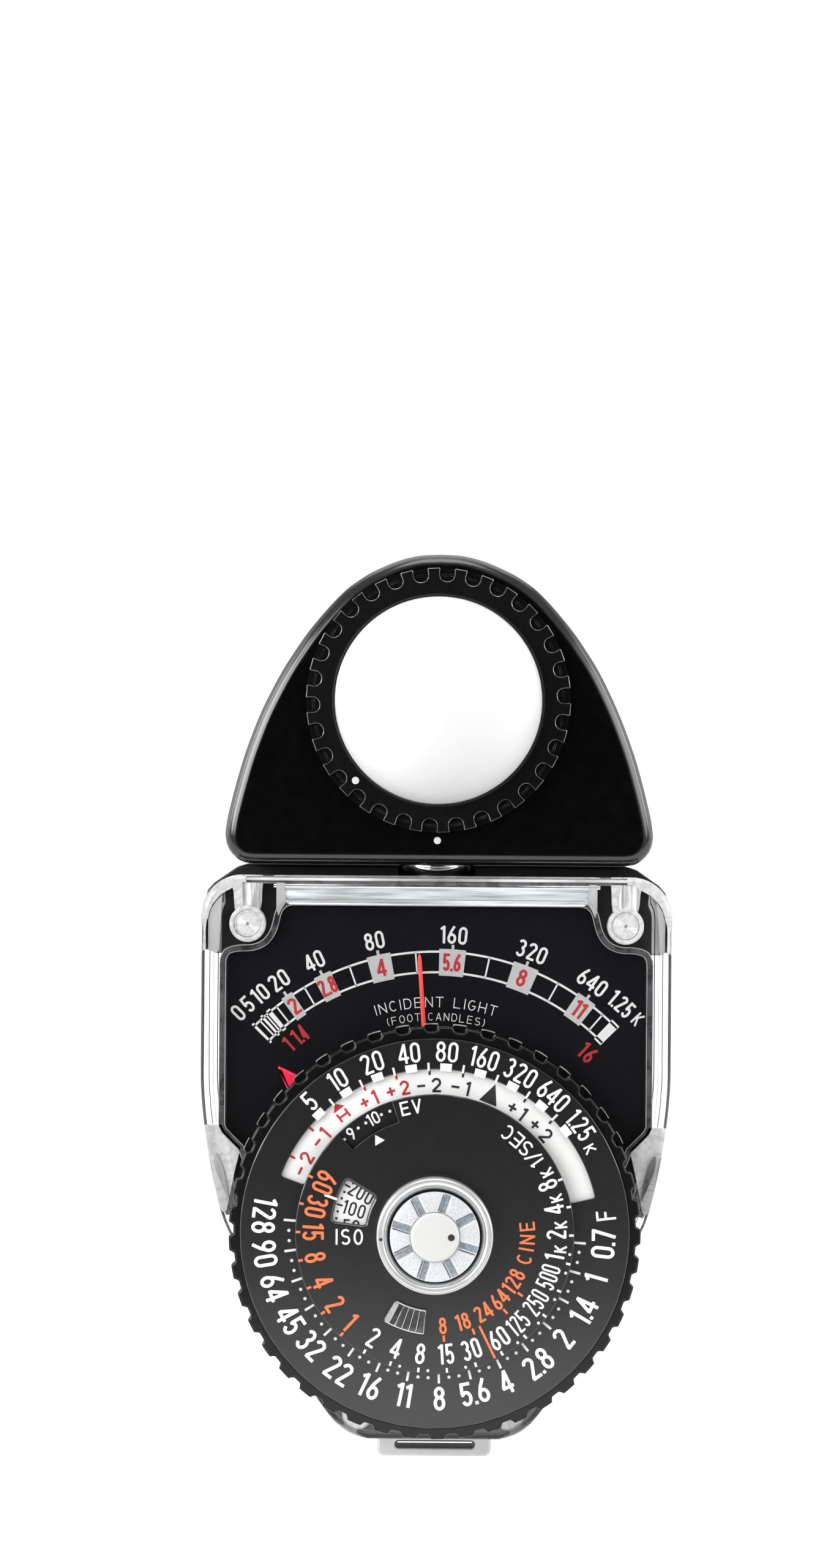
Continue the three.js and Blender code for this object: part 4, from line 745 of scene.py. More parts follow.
# painted highlight lines: a dim one round the teeth and a brighter one at the outer plate's edge
make("serrated_ring_line", ridge(offset(ccw(tooth), 0.10), 0.07, -7.30, 0.05), M["edge_dim"], "exposure_dial", 10)
make("outer_plate_line", ridge(np.array(circle(DIAL, 23.98, 180)), 0.09, -7.5, 0.09), M["edge"], "exposure_dial", 10)
floor_plate = plate(circle(DIAL, 21.3, 120), [circle(DIAL, 4.5, 40)[::-1]], [(0, -5.9), (0, -5.1)])
make("serrated_ring_fine", rim, M["rim"], "exposure_dial", 25, nodes=["serrated_ring"])
make("serrated_ring_floor", floor_plate, M["rim"], "exposure_dial")
win = sector(DIAL, 17.15, 20.2, 12.5 + TILT, 159.5 + TILT, 0.35, 1.5)
make("outer_plate_fine", plate(circle(DIAL, 24.0, 180), [circle(DIAL, 14.3, 120)[::-1], win[::-1]], edge(-7.9, -7.42, 0.14, 0, 3), edge(-7.9, -7.42, 0.1, 0, 2)),
     M["plate"], "exposure_dial", nodes=["outer_dial_plate"])
make("index_disc_fine", lathe([(4.5, -8.15), (13.9, -8.15), (13.9, -7.36), (20.9, -7.36), (20.9, -6.3), (4.5, -6.3)], DIAL, 144), M["white"], "index_disc",
     nodes=["index_disc"])
iso = sector(DIAL, 8.6, 12.7, 148 + TILT, 172.7 + TILT, 0.35, 2)
ev_step = 2.0
# shutter disc: a notch open at the edge for the light values, a rounded window for the film speed
disc_out = [pol(DIAL, 17.18, 134 + TILT + 2 * i) for i in range(int((360 - 26) / 2) + 1)]
disc_out += [pol(DIAL, 14.5, 108 + TILT + 26 * i / 13) for i in range(14)]
make("shutter_disc_fine", plate(disc_out, [circle(DIAL, 4.5, 40)[::-1], iso[::-1]], edge(-8.9, -8.3, 0.14, 0, 3), edge(-8.9, -8.3, 0.35, 0, 4)),
     M["plate"], "shutter_dial", nodes=["shutter_disc"])
# clear ribbed tab
tab = [plate(sector(DIAL, 9.3, 12.3, 239 + TILT, 263.5 + TILT, 0.25, 2), [], edge(-9.5, -8.92, 0.15, 0, 2))]
for t in (241.0, 246.2, 250.6, 254.8, 259.0, 262.6):
    w = 1.5 if t < 242 else 0.5
    tab.append(plate(sector(DIAL, 9.5, 12.1, t - w + TILT, t + w + TILT, 0, 1), [], edge(-10.1, -9.5, 0.2, 0, 3)))
make("film_speed_tab_fine", merged(*tab), M["clear"], "shutter_dial", nodes=["film_speed_tab"])
# painted light and shade in the clear tab: a dim glow under it, a lit first rib, shaded strips between the ribs and
# highlight lines
make("film_speed_tab_painted_glow", plate(sector(DIAL, 9.4, 12.2, 239.2 + TILT, 263.3 + TILT, 0, 1), [], [(0, -8.99), (0, -8.91)]), M["dim_light_fill"], "shutter_dial")
make("film_speed_tab_light", plate(sector(DIAL, 9.6, 12.05, 239.7 + TILT, 242.4 + TILT, 0, 1), [], [(0, -9.72), (0, -8.91)]), M["half_light_fill"], "shutter_dial")
make("film_speed_tab_shade", merged(*[plate(sector(DIAL, 9.5, 12.15, t + TILT, t + 1.9 + TILT, 0, 1), [], [(0, -9.05), (0, -8.91)]) for t in (243.0, 247.2, 251.4, 255.6, 259.8)]), M["dim_light_fill"], "shutter_dial")
make("film_speed_tab_painted_highlights", merged(*[plate(sector(DIAL, 9.4, 12.2, t + TILT, t + 0.32 + TILT, 0, 1), [], [(0, -9.66), (0, -9.3)]) for t in (246.6, 250.8, 255.0, 259.2, 263.2)],
     plate(sector(DIAL, 9.34, 9.46, 240 + TILT, 263.4 + TILT, 0, 1), [], [(0, -9.56), (0, -9.3)]), plate(sector(DIAL, 12.14, 12.26, 240 + TILT, 263.4 + TILT, 0, 1), [], [(0, -9.56), (0, -9.3)])), M["bright_light_fill"], "shutter_dial")
make("bezel_fine", lathe([(4.3, -9.6), (5.6, -9.6), (5.72, -9.8), (5.75, -11.0), (5.85, -11.15), (6.3, -11.5), (6.5, -11.58), (6.8, -11.6), (6.95, -11.56), (7.1, -11.4),
     (7.15, -11.2), (7.15, -9.0), (4.3, -9.0)], DIAL, 128), M["bezel"], "shutter_dial", 40, nodes=["bezel_ring"])
knob = make("button_knob_fine", lathe([(1.65, -11.85), (1.65, -10.9), (5.35, -10.9), (5.5, -11.05), (5.5, -12.05), (5.42, -12.16), (5.3, -12.2), (3.1, -12.2), (3.05, -12.15), (3.05, -11.85)],
            DIAL, 128), M["silver"], "button_knob", 35, nodes=["button_knob"])
for i in range(8):
    t = 28 + 45 * i
    v = []
    for r, k in ((2.0, 0.92), (6.5, 1.12)):
        for o, y in ((-0.56, -12.35), (-0.50, -12.0), (-0.36, -11.86), (0.36, -11.86), (0.50, -12.0), (0.56, -12.35)):
            q = along(DIAL, r, o * k, t)
            v.append((q[0], y, q[1]))
    boolean(knob, (v, [(0, 1, 2, 3, 4, 5), (11, 10, 9, 8, 7, 6)] + [(k, 6 + k, 6 + (k + 1) % 6, (k + 1) % 6) for k in range(6)]), angle=35)
# painted highlight and painted shade strips on the groove walls: the lit one in white ink on the side the light falls
# on, the shaded one in dark iron opposite
grooves, lit, dark = [], [], []
for i in range(8):
    t = 28 + 45 * i
    grooves.append(plate([along(DIAL, 3.12, -0.33, t), along(DIAL, 5.4, -0.38, t), along(DIAL, 5.4, 0.38, t), along(DIAL, 3.12, 0.33, t)], [], [(0, -11.875), (0, -11.8)]))
    a_, b_ = (0.50, 0.62) if math.cos(rad(t + 90)) > 0 else (-0.62, -0.50)
    lit.append(plate([along(DIAL, 3.15, a_ - 0.03, t), along(DIAL, 5.3, a_ + 0.04, t), along(DIAL, 5.3, b_ + 0.04, t), along(DIAL, 3.15, b_ - 0.03, t)], [], [(0, -12.23), (0, -12.1)]))
    dark.append(plate([along(DIAL, 3.15, -b_ - 0.03, t), along(DIAL, 5.3, -b_ - 0.06, t), along(DIAL, 5.3, -a_ - 0.02, t), along(DIAL, 3.15, -a_ + 0.01, t)], [], [(0, -12.225), (0, -12.1)]))
make("button_knob_grooves", merged(*grooves), M["groove"], "button_knob", 20)
make("button_knob_painted_groove_lights", merged(*lit), M["ink_white"], "button_knob", 20)
make("button_knob_painted_groove_shades", merged(*dark), M["iron"], "button_knob", 20)
make("bezel_lines", merged(ridge(np.array(circle(DIAL, 6.9, 128)), 0.09, -11.575, 0.05), ridge(np.array(circle(DIAL, 6.22, 128)), 0.1, -11.43, 0.1)), M["groove"], "shutter_dial", 10)
make("bezel_inner_line", lathe([(5.52, -11.3), (5.72, -11.3), (5.72, -9.7), (5.52, -9.7)], DIAL, 96), M["rim"], "shutter_dial", 20)
make("button_cap_fine", lathe([(0, -12.75), (2.65, -12.75), (2.86, -12.7), (2.97, -12.58), (3.0, -12.45), (3.0, -11.9), (0, -11.9)], DIAL, 96), M["cap"], "button_knob", 40,
     nodes=["button_cap"])

# ------------------------------------------------------------------ lettering: strokes of constant width, drawn as thin printed solids
def arc(cx, cy, rx, ry, a0, a1, n=14):
    return [(cx + rx * math.cos(rad(a0 + (a1 - a0) * i / n)), cy + ry * math.sin(rad(a0 + (a1 - a0) * i / n))) for i in range(n + 1)]


def glyph(ch, w, t):
    """Centre lines of a character one unit high, and its width."""
    e = t / 2
    X0, X1, Y0, Y1, cx = e, w - e, e, 1 - e, w / 2
    rx = (X1 - X0) / 2
    g = {
        '0': [arc(cx, Y1 - rx * 1.15, rx, rx * 1.15, 0, 180) + arc(cx, Y0 + rx * 1.15, rx, rx * 1.15, 180, 360) + [(X1, Y1 - rx * 1.15)]],
        '2': [arc(cx, Y1 - rx, rx, rx, 172, -32) + [(X0 + .02, Y0)], [(X0 - e * .2, Y0), (w, Y0)]],
        '3': [arc(cx - .01, (Y1 + .535) / 2, rx * .93, (Y1 - .535) / 2, 155, -82), arc(cx - .01, (.535 + Y0) / 2, rx, (.535 - Y0) / 2, 82, -158)],
        '4': [[(w * .72, 0), (w * .72, 1)], [(w * .70, Y1 + e * .3), (X0 * .6, .27)], [(0, .27), (w + .02, .27)]],
        '5': [[(w * .93, Y1), (X0 + .035, Y1)], [(X0 + .035, 1), (X0 + .01, .50)], [(X0 + .0, .50)] + arc(cx - .01, .325, rx, .325 - Y0, 142, -155)],
        '6': [arc(cx, .30, rx, .30 - Y0, 0, 360, 24), [(w * .74, 1.0), (w * .36, .66), (X0, .34)]],
        '7': [[(0, Y1), (w, Y1)], [(X1 + .01, Y1), (w * .32, 0)]],
        '8': [arc(cx, (Y1 + .545) / 2, rx * .88, (Y1 - .545) / 2, 0, 360, 24), arc(cx, (.545 + Y0) / 2, rx, (.545 - Y0) / 2, 0, 360, 24)],
        '9': [arc(cx, .70, rx, Y1 - .70, 0, 360, 24), [(w * .26, 0), (w * .64, .34), (X1, .66)]],
        'F': [[(X0, 0), (X0, 1)], [(0, Y1), (w * .92, Y1)], [(0, .52), (w * .82, .52)]],
        'E': [[(X0, 0), (X0, 1)], [(0, Y1), (w * .92, Y1)], [(0, .52), (w * .84, .52)], [(0, Y0), (w * .94, Y0)]],
        'H': [[(X0, 0), (X0, 1)], [(X1, 0), (X1, 1)], [(0, .5), (w, .5)]],
        'V': [[(e * .9, 1), (cx, e * .8), (w - e * .9, 1)]],
        'N': [[(X0, 0), (X0, 1)], [(X1, 0), (X1, 1)], [(X0, 1 - e * .8), (X1, e * .8)]],
        'L': [[(X0, 0), (X0, 1)], [(0, Y0), (w * .9, Y0)]],
        'T': [[(cx, 0), (cx, 1)], [(0, Y1), (w, Y1)]],
        'K': [[(X0, 0), (X0, 1)], [(w - e * .8, 1), (X0 + .02, .42)], [(X0 + .12, .55), (w - e * .5, 0)]],
        'C': [arc(cx, .5, rx, .5 - Y0, 48, 312, 26)],
        'G': [arc(cx, .5, rx, .5 - Y0, 48, 345, 26), [(w * .52, .44), (w, .44)]],
        'O': [arc(cx, .5, rx, .5 - Y0, 0, 360, 32)],
        'D': [[(X0, 0), (X0, 1)], [(0, Y1)] + arc(cx - .02, .5, rx + .02, .5 - Y0, 90, -90, 18) + [(0, Y0)]],
        'S': [arc(cx, (Y1 + .52) / 2, rx * .95, (Y1 - .52) / 2, 35, 268, 18) + arc(cx, (.52 + Y0) / 2, rx, (.52 - Y0) / 2, 88, -148, 18)],
        'A': [[(e * .8, 0), (cx, 1 - e * .8), (w - e * .8, 0)], [(w * .2, .3), (w * .8, .3)]],
        '-': [[(w * .08, .48), (w * .92, .48)]],
        '+': [[(w * .04, .48), (w * .96, .48)], [(cx, .48 - w * .46), (cx, .48 + w * .46)]],
    }
    if ch == '1':
        return [[(t * 1.35, 0), (t * 1.35, 1)], [(t * 1.35, 1 - e * .9), (0.0, .80)]], t * 1.9
    if ch == 'I':
        return [[(e, 0), (e, 1)]], t
    if ch == '/':
        return [[(0.02, -.05), (w * .72, 1.05)]], w * .74
    if ch == '.':
        return [[(e, 0), (e, t)]], t
    if ch == '(':
        return [arc(w * .62, .5, w * .55, .60, 125, 235, 12)], w * .4
    if ch == ')':
        return [arc(-w * .22, .5, w * .55, .60, -55, 55, 12)], w * .4
    if ch == ' ':
        return [], w * .55
    return g[ch], w


_shapes = {}


def shape(ch, w, t):
    """Closed loops of the character's outline, from a distance field."""
    key = (ch, round(w, 3), round(t, 3))
    if key in _shapes:
        return _shapes[key]
    lines, width = glyph(ch, w, t)
    if not lines:
        _shapes[key] = ([], width)
        return _shapes[key]
    h = 0.03
    P = np.array([p for l in lines for p in l])
    x0, y0 = P.min(0) - t - 2 * h
    x1, y1 = P.max(0) + t + 2 * h
    nx, ny = int((x1 - x0) / h) + 2, int((y1 - y0) / h) + 2
    gx, gy = np.meshgrid(x0 + h * np.arange(nx) + 0.00137, y0 + h * np.arange(ny) + 0.00071, indexing='ij')
    F = np.full(gx.shape, 9.0)
    for l in lines:
        for i in range(len(l) - 1):
            (ax, ay), (bx, by) = l[i], l[i + 1]
            L = math.hypot(bx - ax, by - ay)
            if L < 1e-9:
                continue
            ux, uy = (bx - ax) / L, (by - ay) / L
            s = (gx - ax) * ux + (gy - ay) * uy
            d = np.abs(-(gx - ax) * uy + (gy - ay) * ux) - t / 2
            q = np.maximum(-s, s - L)
            F = np.minimum(F, np.where((q > 0) & (d > 0), np.hypot(q, d), np.maximum(q, d)))
            if i > 0:
                F = np.minimum(F, np.hypot(gx - ax, gy - ay) - t / 2)
        if len(l) > 2 and math.hypot(l[0][0] - l[-1][0], l[0][1] - l[-1][1]) < 1e-6:
            F = np.minimum(F, np.hypot(gx - l[0][0], gy - l[0][1]) - t / 2)
    inside = F < 0
    nxt = {}

    def cut(i, j, k, l):
        u = F[i, j] / (F[i, j] - F[k, l])
        return (gx[i, j] + (gx[k, l] - gx[i, j]) * u, gy[i, j] + (gy[k, l] - gy[i, j]) * u)

    where = {}
    for i in range(nx - 1):
        for j in range(ny - 1):
            c = (inside[i, j], inside[i + 1, j], inside[i + 1, j + 1], inside[i, j + 1])
            if all(c) or not any(c):
                continue
            corners = ((i, j), (i + 1, j), (i + 1, j + 1), (i, j + 1))
            ent, ext = [], []
            for k in range(4):
                p, q = corners[k], corners[(k + 1) % 4]
                if c[k] != c[(k + 1) % 4]:
                    eid = (p, q) if p < q else (q, p)
                    if eid not in where:
                        where[eid] = cut(*p, *q)
                    (ext if c[k] else ent).append(eid)
            # going counterclockwise round the cell: ext is where the walk leaves the inside
            if len(ent) == 1:
                nxt[ext[0]] = ent[0]
            else:
                nxt[ext[0]] = ent[0]
                nxt[ext[1]] = ent[1]
    loops = []
    left = set(nxt)
    while left:
        s = k = next(iter(sorted(left)))
        loop = []
        while k in left:
            left.discard(k)
            loop.append(where[k])
            k = nxt[k]
        loops.append(loop)
    out = []
    for loop in loops:
        pts = [np.array(loop[0])]
        for p in loop[1:]:
            if np.linalg.norm(np.array(p) - pts[-1]) > 0.004:
                pts.append(np.array(p))
        keep = []
        n = len(pts)
        for i in range(n):
            a_, b_, c_ = pts[i - 1], pts[i], pts[(i + 1) % n]
            d = c_ - a_
            L = np.linalg.norm(d)
            dev = abs(d[0] * (b_ - a_)[1] - d[1] * (b_ - a_)[0]) / max(L, 1e-9)
            if dev > 0.0006 or i % 4 == 0:
                keep.append((float(b_[0]), float(b_[1])))
        if len(keep) > 3:
            out.append(keep)
    _shapes[key] = (out, width)
    return _shapes[key]


class Ink:
    """Printed marks on one face, gathered by colour."""

    def __init__(self, y, body, c=DIAL):
        self.y, self.body, self.c, self.sets = y, body, c, {}

    def add(self, loops, color, lift=0.035):
        verts, faces = self.sets.setdefault(color, ([], []))
        rings = []
        for l in loops:
            n, s = len(l), len(verts)
            verts += [(x, self.y - lift, z) for x, z in l] + [(x, self.y + 0.03, z) for x, z in l]
            for i in range(n):
                i2 = (i + 1) % n
                faces.append((s + i, s + i2, s + n + i2, s + n + i))
            rings.append((s, n))
        tris = tessellate_polygon([[Vector((x, z, 0)) for x, z in l] for l in loops])
        front = [s + i for s, n in rings for i in range(n)]
        back = [s + n + i for s, n in rings for i in range(n)]
        faces += [tuple(front[i] for i in t) for t in tris]
        faces += [tuple(back[i] for i in reversed(t)) for t in tris]

    def text(self, s, h, r, ang, color, mode='out', w=0.55, t=0.125, gap=0.15, lift=0.035, centre=None):
        """A word centred at an angle on a circle, each character set square to it."""
        c = centre or self.c
        info = [shape(ch, w, t) for ch in s]
        gaps = [gap * (0.4 if "." in (s[i], s[i + 1]) else 1) for i in range(len(s) - 1)] + [0]
        total = sum(i[1] for i in info) + sum(gaps)
        x = -total / 2
        for k, (loops, width) in enumerate(info):
            u = (x + width / 2) * h
            if mode == 'flat':
                p0 = pol(c, r, ang)
                right, up, org = (1, 0), (0, 1), (p0[0] + u, p0[1])
            elif mode == 'out':
                aa = ang - math.degrees(u / r)
                right, up, org = (math.sin(rad(aa)), -math.cos(rad(aa))), (math.cos(rad(aa)), math.sin(rad(aa))), pol(c, r, aa)
            elif mode == 'in':
                aa = ang + math.degrees(u / r)
                right, up, org = (-math.sin(rad(aa)), math.cos(rad(aa))), (-math.cos(rad(aa)), -math.sin(rad(aa))), pol(c, r, aa)
            else:                                   # a direction in degrees for 'right'
                ra = rad(mode)
                right, up = (math.cos(ra), math.sin(ra)), (-math.sin(ra), math.cos(ra))
                p0 = pol(c, r, ang)
                org = (p0[0] + right[0] * u, p0[1] + right[1] * u)
            if loops:
                self.add([[(org[0] + right[0] * (px - width / 2) * h + up[0] * (py - .5) * h, org[1] + right[1] * (px - width / 2) * h + up[1] * (py - .5) * h)
                           for px, py in l] for l in loops], color, lift)
            x += width + gaps[k]

    def bar(self, r0, r1, ang, width, color, c=None, lift=0.035):
        c = c or self.c
        h = width / 2
        self.add([[along(c, r0, -h, ang), along(c, r1, -h, ang), along(c, r1, h, ang), along(c, r0, h, ang)]], color, lift)

    def dot(self, r, ang, size, color, c=None, lift=0.035):
        self.add([circle(pol(c or self.c, r, ang), size, 14)], color, lift)

    def ring_sector(self, r0, r1, a0, a1, color, c=None, lift=0.035, step=2):
        self.add([sector(c or self.c, r0, r1, a0, a1, 0, step)], color, lift)

    def tri(self, r_tip, r_base, ang, half, color, lift=0.035):
        self.add([[along(self.c, r_base, -half, ang), along(self.c, r_tip, 0, ang), along(self.c, r_base, half, ang)]], color, lift)

    def done(self, prefix):
        for color, geo in self.sets.items():
            make(prefix + "_" + color, geo, M["ink_" + color], self.body, 30)


T = TILT
# outer plate
ink = Ink(-7.9, "exposure_dial")
for i, s in enumerate(("5", "10", "20", "40", "80", "160", "320", "640")):
    ang = 134.1 - 12 * i + T + {"5": -0.7, "320": -0.2, "640": -0.8}.get(s, 0)
    ink.text(s, 2.5, 22.42, ang, "white", 'out', w=0.46 if len(s) > 2 else 0.49, t=0.125, gap=0.115)
ink.text("1.25", 2.4, 22.35, 36.5 + T, "white", 'out', w=0.46, t=0.125, gap=0.11)
ink.text("K", 1.4, 21.75, 28.6 + T, "white", 'out', w=0.7, t=0.16)
for i in range(9):
    ang = 134.1 - 12 * i + T
    ink.ring_sector(20.02, 20.98, ang - 2.0, ang + 2.0, "white")
    if i < 8:
        ink.bar(20.02, 21.05, ang - 6, 0.27, "white")
# light values, seen through the notch of the shutter disc
for n in range(1, 21):
    ang = 129.8 - 11.8 * (n - 9)
    ink.text(str(n), 1.55, 16.05, ang + T, "white", 'out', w=0.55, t=0.14, gap=0.12)
    for d in (3.9, 7.9):
        ink.dot(16.05, ang - d + T, 0.19, "white")
F_R = (20.80, 20.6, 20.65, 20.45, 20.45, 20.25, 20.15, 20.3, 20.2, 20.43, 20.6, 20.49, 20.7, 20.85, 21.05, 21.13)
F_B = (0, 0.34, 0.43, 0.55, 0.48, 0.34, 0.2, 0, -0.2, -0.35, -0.5, -0.55, -0.5, -0.4, -0.3, -0.2)
F_A = (1.0, 0.8, 1.1, 1.1, 0.9, 0.0, 0.5, 0.0, -0.4, -0.6, -0.7, -1.6, -0.8, -1.1, -0.9, -1.65)
for i, s in enumerate(("0.7", "1", "1.4", "2", "2.8", "4", "5.6", "8", "11", "16", "22", "32", "45", "64", "90", "128")):
    ang = 271.6 + T + 12 * (7 - i)
    ink.text(s, 2.95, F_R[i], ang + F_A[i], "white", 'in', w=0.49, t=0.14, gap=0.11)
    ink.bar(17.1, 18.65, ang + F_B[i], 0.29, "white", c=(0.0, 28.02))
    if i > 0:
        for d in (4, 8):
            ink.dot(17.95, ang + d + F_B[i], 0.2, "white", c=(0.0, 28.02))
ink.text("F", 2.45, 21.2, 6.2 + T, "white", 'in', w=0.52, t=0.12)
ink.done("outer_print")

# white index disc
ink = Ink(-7.36, "index_disc")
ink.tri(19.8, 17.3, 67.8 + T, 1.15, "black")
for s, ang in (("-2", 92.3), ("-1", 80.0), ("+1", 56.3), ("+2", 44.3)):
    ink.text(s, 1.8, 18.25, ang + T, "black", 'out', w=0.66, t=0.16, gap=0.38)
for ang in (91.8, 79.8, 55.8, 43.8):
    ink.bar(19.5, 20.3, ang + T, 0.27, "black")
ink.tri(20.15, 19.25, 127.7 + T, 0.82, "red")
ink.text("H", 1.15, 18.36, 127.7 + T, "red", 'out', w=1.3, t=0.23)
for s, ang in (("-2", 152.3), ("-1", 140.3), ("+1", 116.4), ("+2", 104.4)):
    ink.text(s, 1.8, 18.3, ang + T, "red", 'out', w=0.64, t=0.16, gap=0.34)
for ang in (151.8, 139.8, 115.8, 103.8):
    ink.bar(19.5, 20.3, ang + T, 0.27, "red")
ink.done("index_print")
ink = Ink(-8.15, "index_disc")
for k, s in enumerate(("12000", "6400", "3200", "1600", "800", "400", "200", "100", "50", "25", "12", "6")):
    i = k - 5
    w_ = 0.5 if len(s) < 4 else 0.4 if len(s) == 4 else 0.3
    ink.text(s, 1.75, 10.35, 139.3 + 11.9 * i + T, "black", 151.1 + 11.7 * (i - 1) + T + 180, w=w_, t=0.13, gap=0.16 if len(s) < 4 else 0.09)
for i in range(-15, 19):
    ang = 139.3 + 3.95 * i + T
    if i % 3 == 0:
        ink.bar(11.85, 12.6, ang, 0.24, "black")
    else:
        ink.dot(12.25, ang, 0.16, "black")
ink.done("speed_print")

# shutter disc
ink = Ink(-8.9, "shutter_dial")
right = ("15", "30", "60", "125", "250", "500", "1K", "2K", "4K", "8K")
S_A = (0.4, 0.5, 2.6, 2.1, 3.0, 4.45, 4.5, 3.1, 3.0, 2.8)
K_A = (0, 0, 0, 0, 0, 0, 1.75, 2.2, 2.5, 3.0)
S_R = (14.75, 14.8, 14.98, 14.95, 14.95, 14.9, 14.95, 14.95, 15.0, 15.15)
for i, s in enumerate(right):
    ang = 275.1 + 12 * i + T + S_A[i]
    if s.endswith("K"):
        ink.text(s[:-1], 2.45, S_R[i], ang - 2.4, "white", 'in', w=0.46, t=0.13)
        ink.text("K", 1.5, S_R[i] + 0.6, ang + K_A[i], "white", 'in', w=0.6, t=0.17)
    else:
        ink.text(s, 2.4 if len(s) > 2 else 2.5, S_R[i], ang, "white", 'in', w=0.35 if len(s) > 2 else 0.42, t=0.105 if len(s) > 2 else 0.13, gap=0.075 if len(s) > 2 else 0.1)
for i, s in enumerate(("8", "4", "2")):
    ink.text(s, 2.55, 14.75, 263.1 - 12 * i + T, "white", 'in', w=0.46, t=0.13)
for i, s in enumerate(("1", "2", "4", "8", "15", "30", "60")):
    ink.text(s, 2.65, 14.95, 227.1 - 12 * i + T - (1.0 if i == 0 else 0.3), "orange", 'in', w=0.44, t=0.13, gap=0.1)
MARKS = {8: 4, 9: 4, 10: 8, 12: 8, 13: 8, 14: 8, 15: 8, 16: 4}      # odd film speeds between the shutter times
for i in range(20):
    ang = 155.1 + 12 * i + T
    col = "orange" if i < 7 else "white"
    ink.bar(16.52, 17.08, ang + (0.3 if i > 10 else 0), 0.28 if col == "white" else 0.3, col, c=(0.0, 27.85))
    if i in MARKS:
        ink.dot(16.78, ang + MARKS[i] + (0.3 if i > 10 else 0), 0.18, "white", c=(0.0, 27.85))
ink.text("1/SEC", 1.88, 15.4, 45.6 + T, "white", 'in', w=0.70, t=0.13, gap=0.11)
ink.text("EV", 1.75, 15.9, 100.6 + T, "white", 'out', w=0.68, t=0.14, gap=0.14)
ink.tri(14.25, 13.1, 120.9 + T, 0.68, "white")
for s, ang in (("8", 275), ("18", 288), ("24", 302), ("64", 315), ("128", 329.4)):
    ink.text(s, 2.05, 11.25, ang + T, "orange", 'in', w=0.46, t=0.14, gap=0.10)
ink.text("CINE", 1.9, 11.4, -5.1 + T, "orange", 'in', w=0.60, t=0.13, gap=0.27)
for ang in (275, 291.8, 312.6, 325):
    ink.bar(12.45, 13.2, ang + T, 0.28, "orange")
ink.bar(12.5, 16.9, 296 + T, 0.28, "orange")
ink.bar(12.75, 14.4, 160.2 + T, 0.3, "white")
ink.text("ISO", 1.95, 10.5, 181.6 + T, "white", 'flat', w=0.6, t=0.13, gap=0.2)
ink.done("shutter_print")
ink = Ink(-11.58, "shutter_dial")
ink.dot(6.62, 183 + T, 0.2, "black", lift=0.04)
ink.done("bezel_print")
ink = Ink(-12.75, "button_knob")
ink.dot(2.0, 0 + T, 0.42, "black")
ink.done("cap_print")

# ------------------------------------------------------------------ head marks
ink = Ink(-4.5, "diffuser", CELL)
ink.dot(14.3, 224 + T, 0.46, "white")
ink.done("ring_print")
ink = Ink(-2.6, "head", CELL)
ink.dot(17.4, 270, 0.45, "white")
ink.done("head_print")


# ------------------------------------------------------------------ needle scale
def seen(theta, r):
    """A reading taken in picture units about (713, 1991), as x and z on the scale plate."""
    px, py = 713 + r * math.cos(rad(theta)), 1991 - r * math.sin(rad(theta))
    ax = 710.2 + (2010 - py) * 0.00715
    return ((px - ax) / 13.085, 83.1 - (py - 1280) / 13.085)


def about(theta, r=418.0):
    x, z = seen(theta, r)
    return math.degrees(math.atan2(z - MOVE[1], x - MOVE[0]))


ink = Ink(-0.2, "case", MOVE)
A0, A1 = about(133.5), about(46.9)
ink.ring_sector(31.70, 31.96, A1, A0, "white", step=0.8)
ink.ring_sector(29.13, 29.39, A1, A0, "white", step=0.8)
for th, hw in ((133.2, 0.3), (130.65, 0.28), (128.8, 0.5)):
    ink.ring_sector(28.9, 32.2, about(th - hw), about(th + hw), "white", step=0.5)
for th in (131.6, 129.8, 126.9, 119.6, 108.9, 94.4, 78.56, 62.9, 51.2):
    ink.bar(29.2, 31.9, about(th), 0.2, "white")
boxes = ((123.75, 1.33, "2"), (114.97, 1.94, "2.8"), (102.3, 2.56, "4"), (86.5, 2.84, "5.6"), (70.56, 2.78, "8"), (55.94, 2.25, "11"))
for th, hw, s in boxes:
    a0, a1, am = about(th - hw), about(th + hw), about(th)
    ink.ring_sector(28.85, 32.2, a0, a1, "grey", step=0.8, lift=0.05)
    ink.ring_sector(32.1, 32.75, am - 0.3, am + 0.3, "grey", step=0.3, lift=0.045)
    ink.text(s, 2.2, 30.55, am, "red", 'out', w=0.52 if len(s) < 3 else 0.42, t=0.16, gap=0.05, lift=0.07)
ink.ring_sector(28.9, 32.2, about(47.9 - 1.08), about(47.9 + 1.08), "white", step=0.6)
for s, th in (("0", 133.9), ("5", 131.3), ("10", 128.0), ("20", 123.4), ("40", 115.3), ("80", 102.5), ("160", 86.4), ("320", 70.4), ("640", 56.8), ("1.25", 49.5), ("K", 45.1)):
    x, z = seen(th, 466)
    r = math.hypot(x - MOVE[0], z - MOVE[1])
    an = math.degrees(math.atan2(z - MOVE[1], x - MOVE[0]))
    ink.text(s, 2.2 if s != "K" else 1.75, r, an, "white", 'out', w=0.50 if s != "1.25" else 0.43, t=0.14, gap=0.12)


def seen_px(px, py):
    ax = 710.2 + (2010 - py) * 0.00715
    return ((px - ax) / 13.085, 83.1 - (py - 1280) / 13.085)


def put(s, h, px, py, color, **kw):
    x, z = seen_px(px, py)
    r, an = math.hypot(x - MOVE[0], z - MOVE[1]), math.degrees(math.atan2(z - MOVE[1], x - MOVE[0]))
    ink.text(s, h, r, an, color, kw.pop("mode", 'out'), **kw)


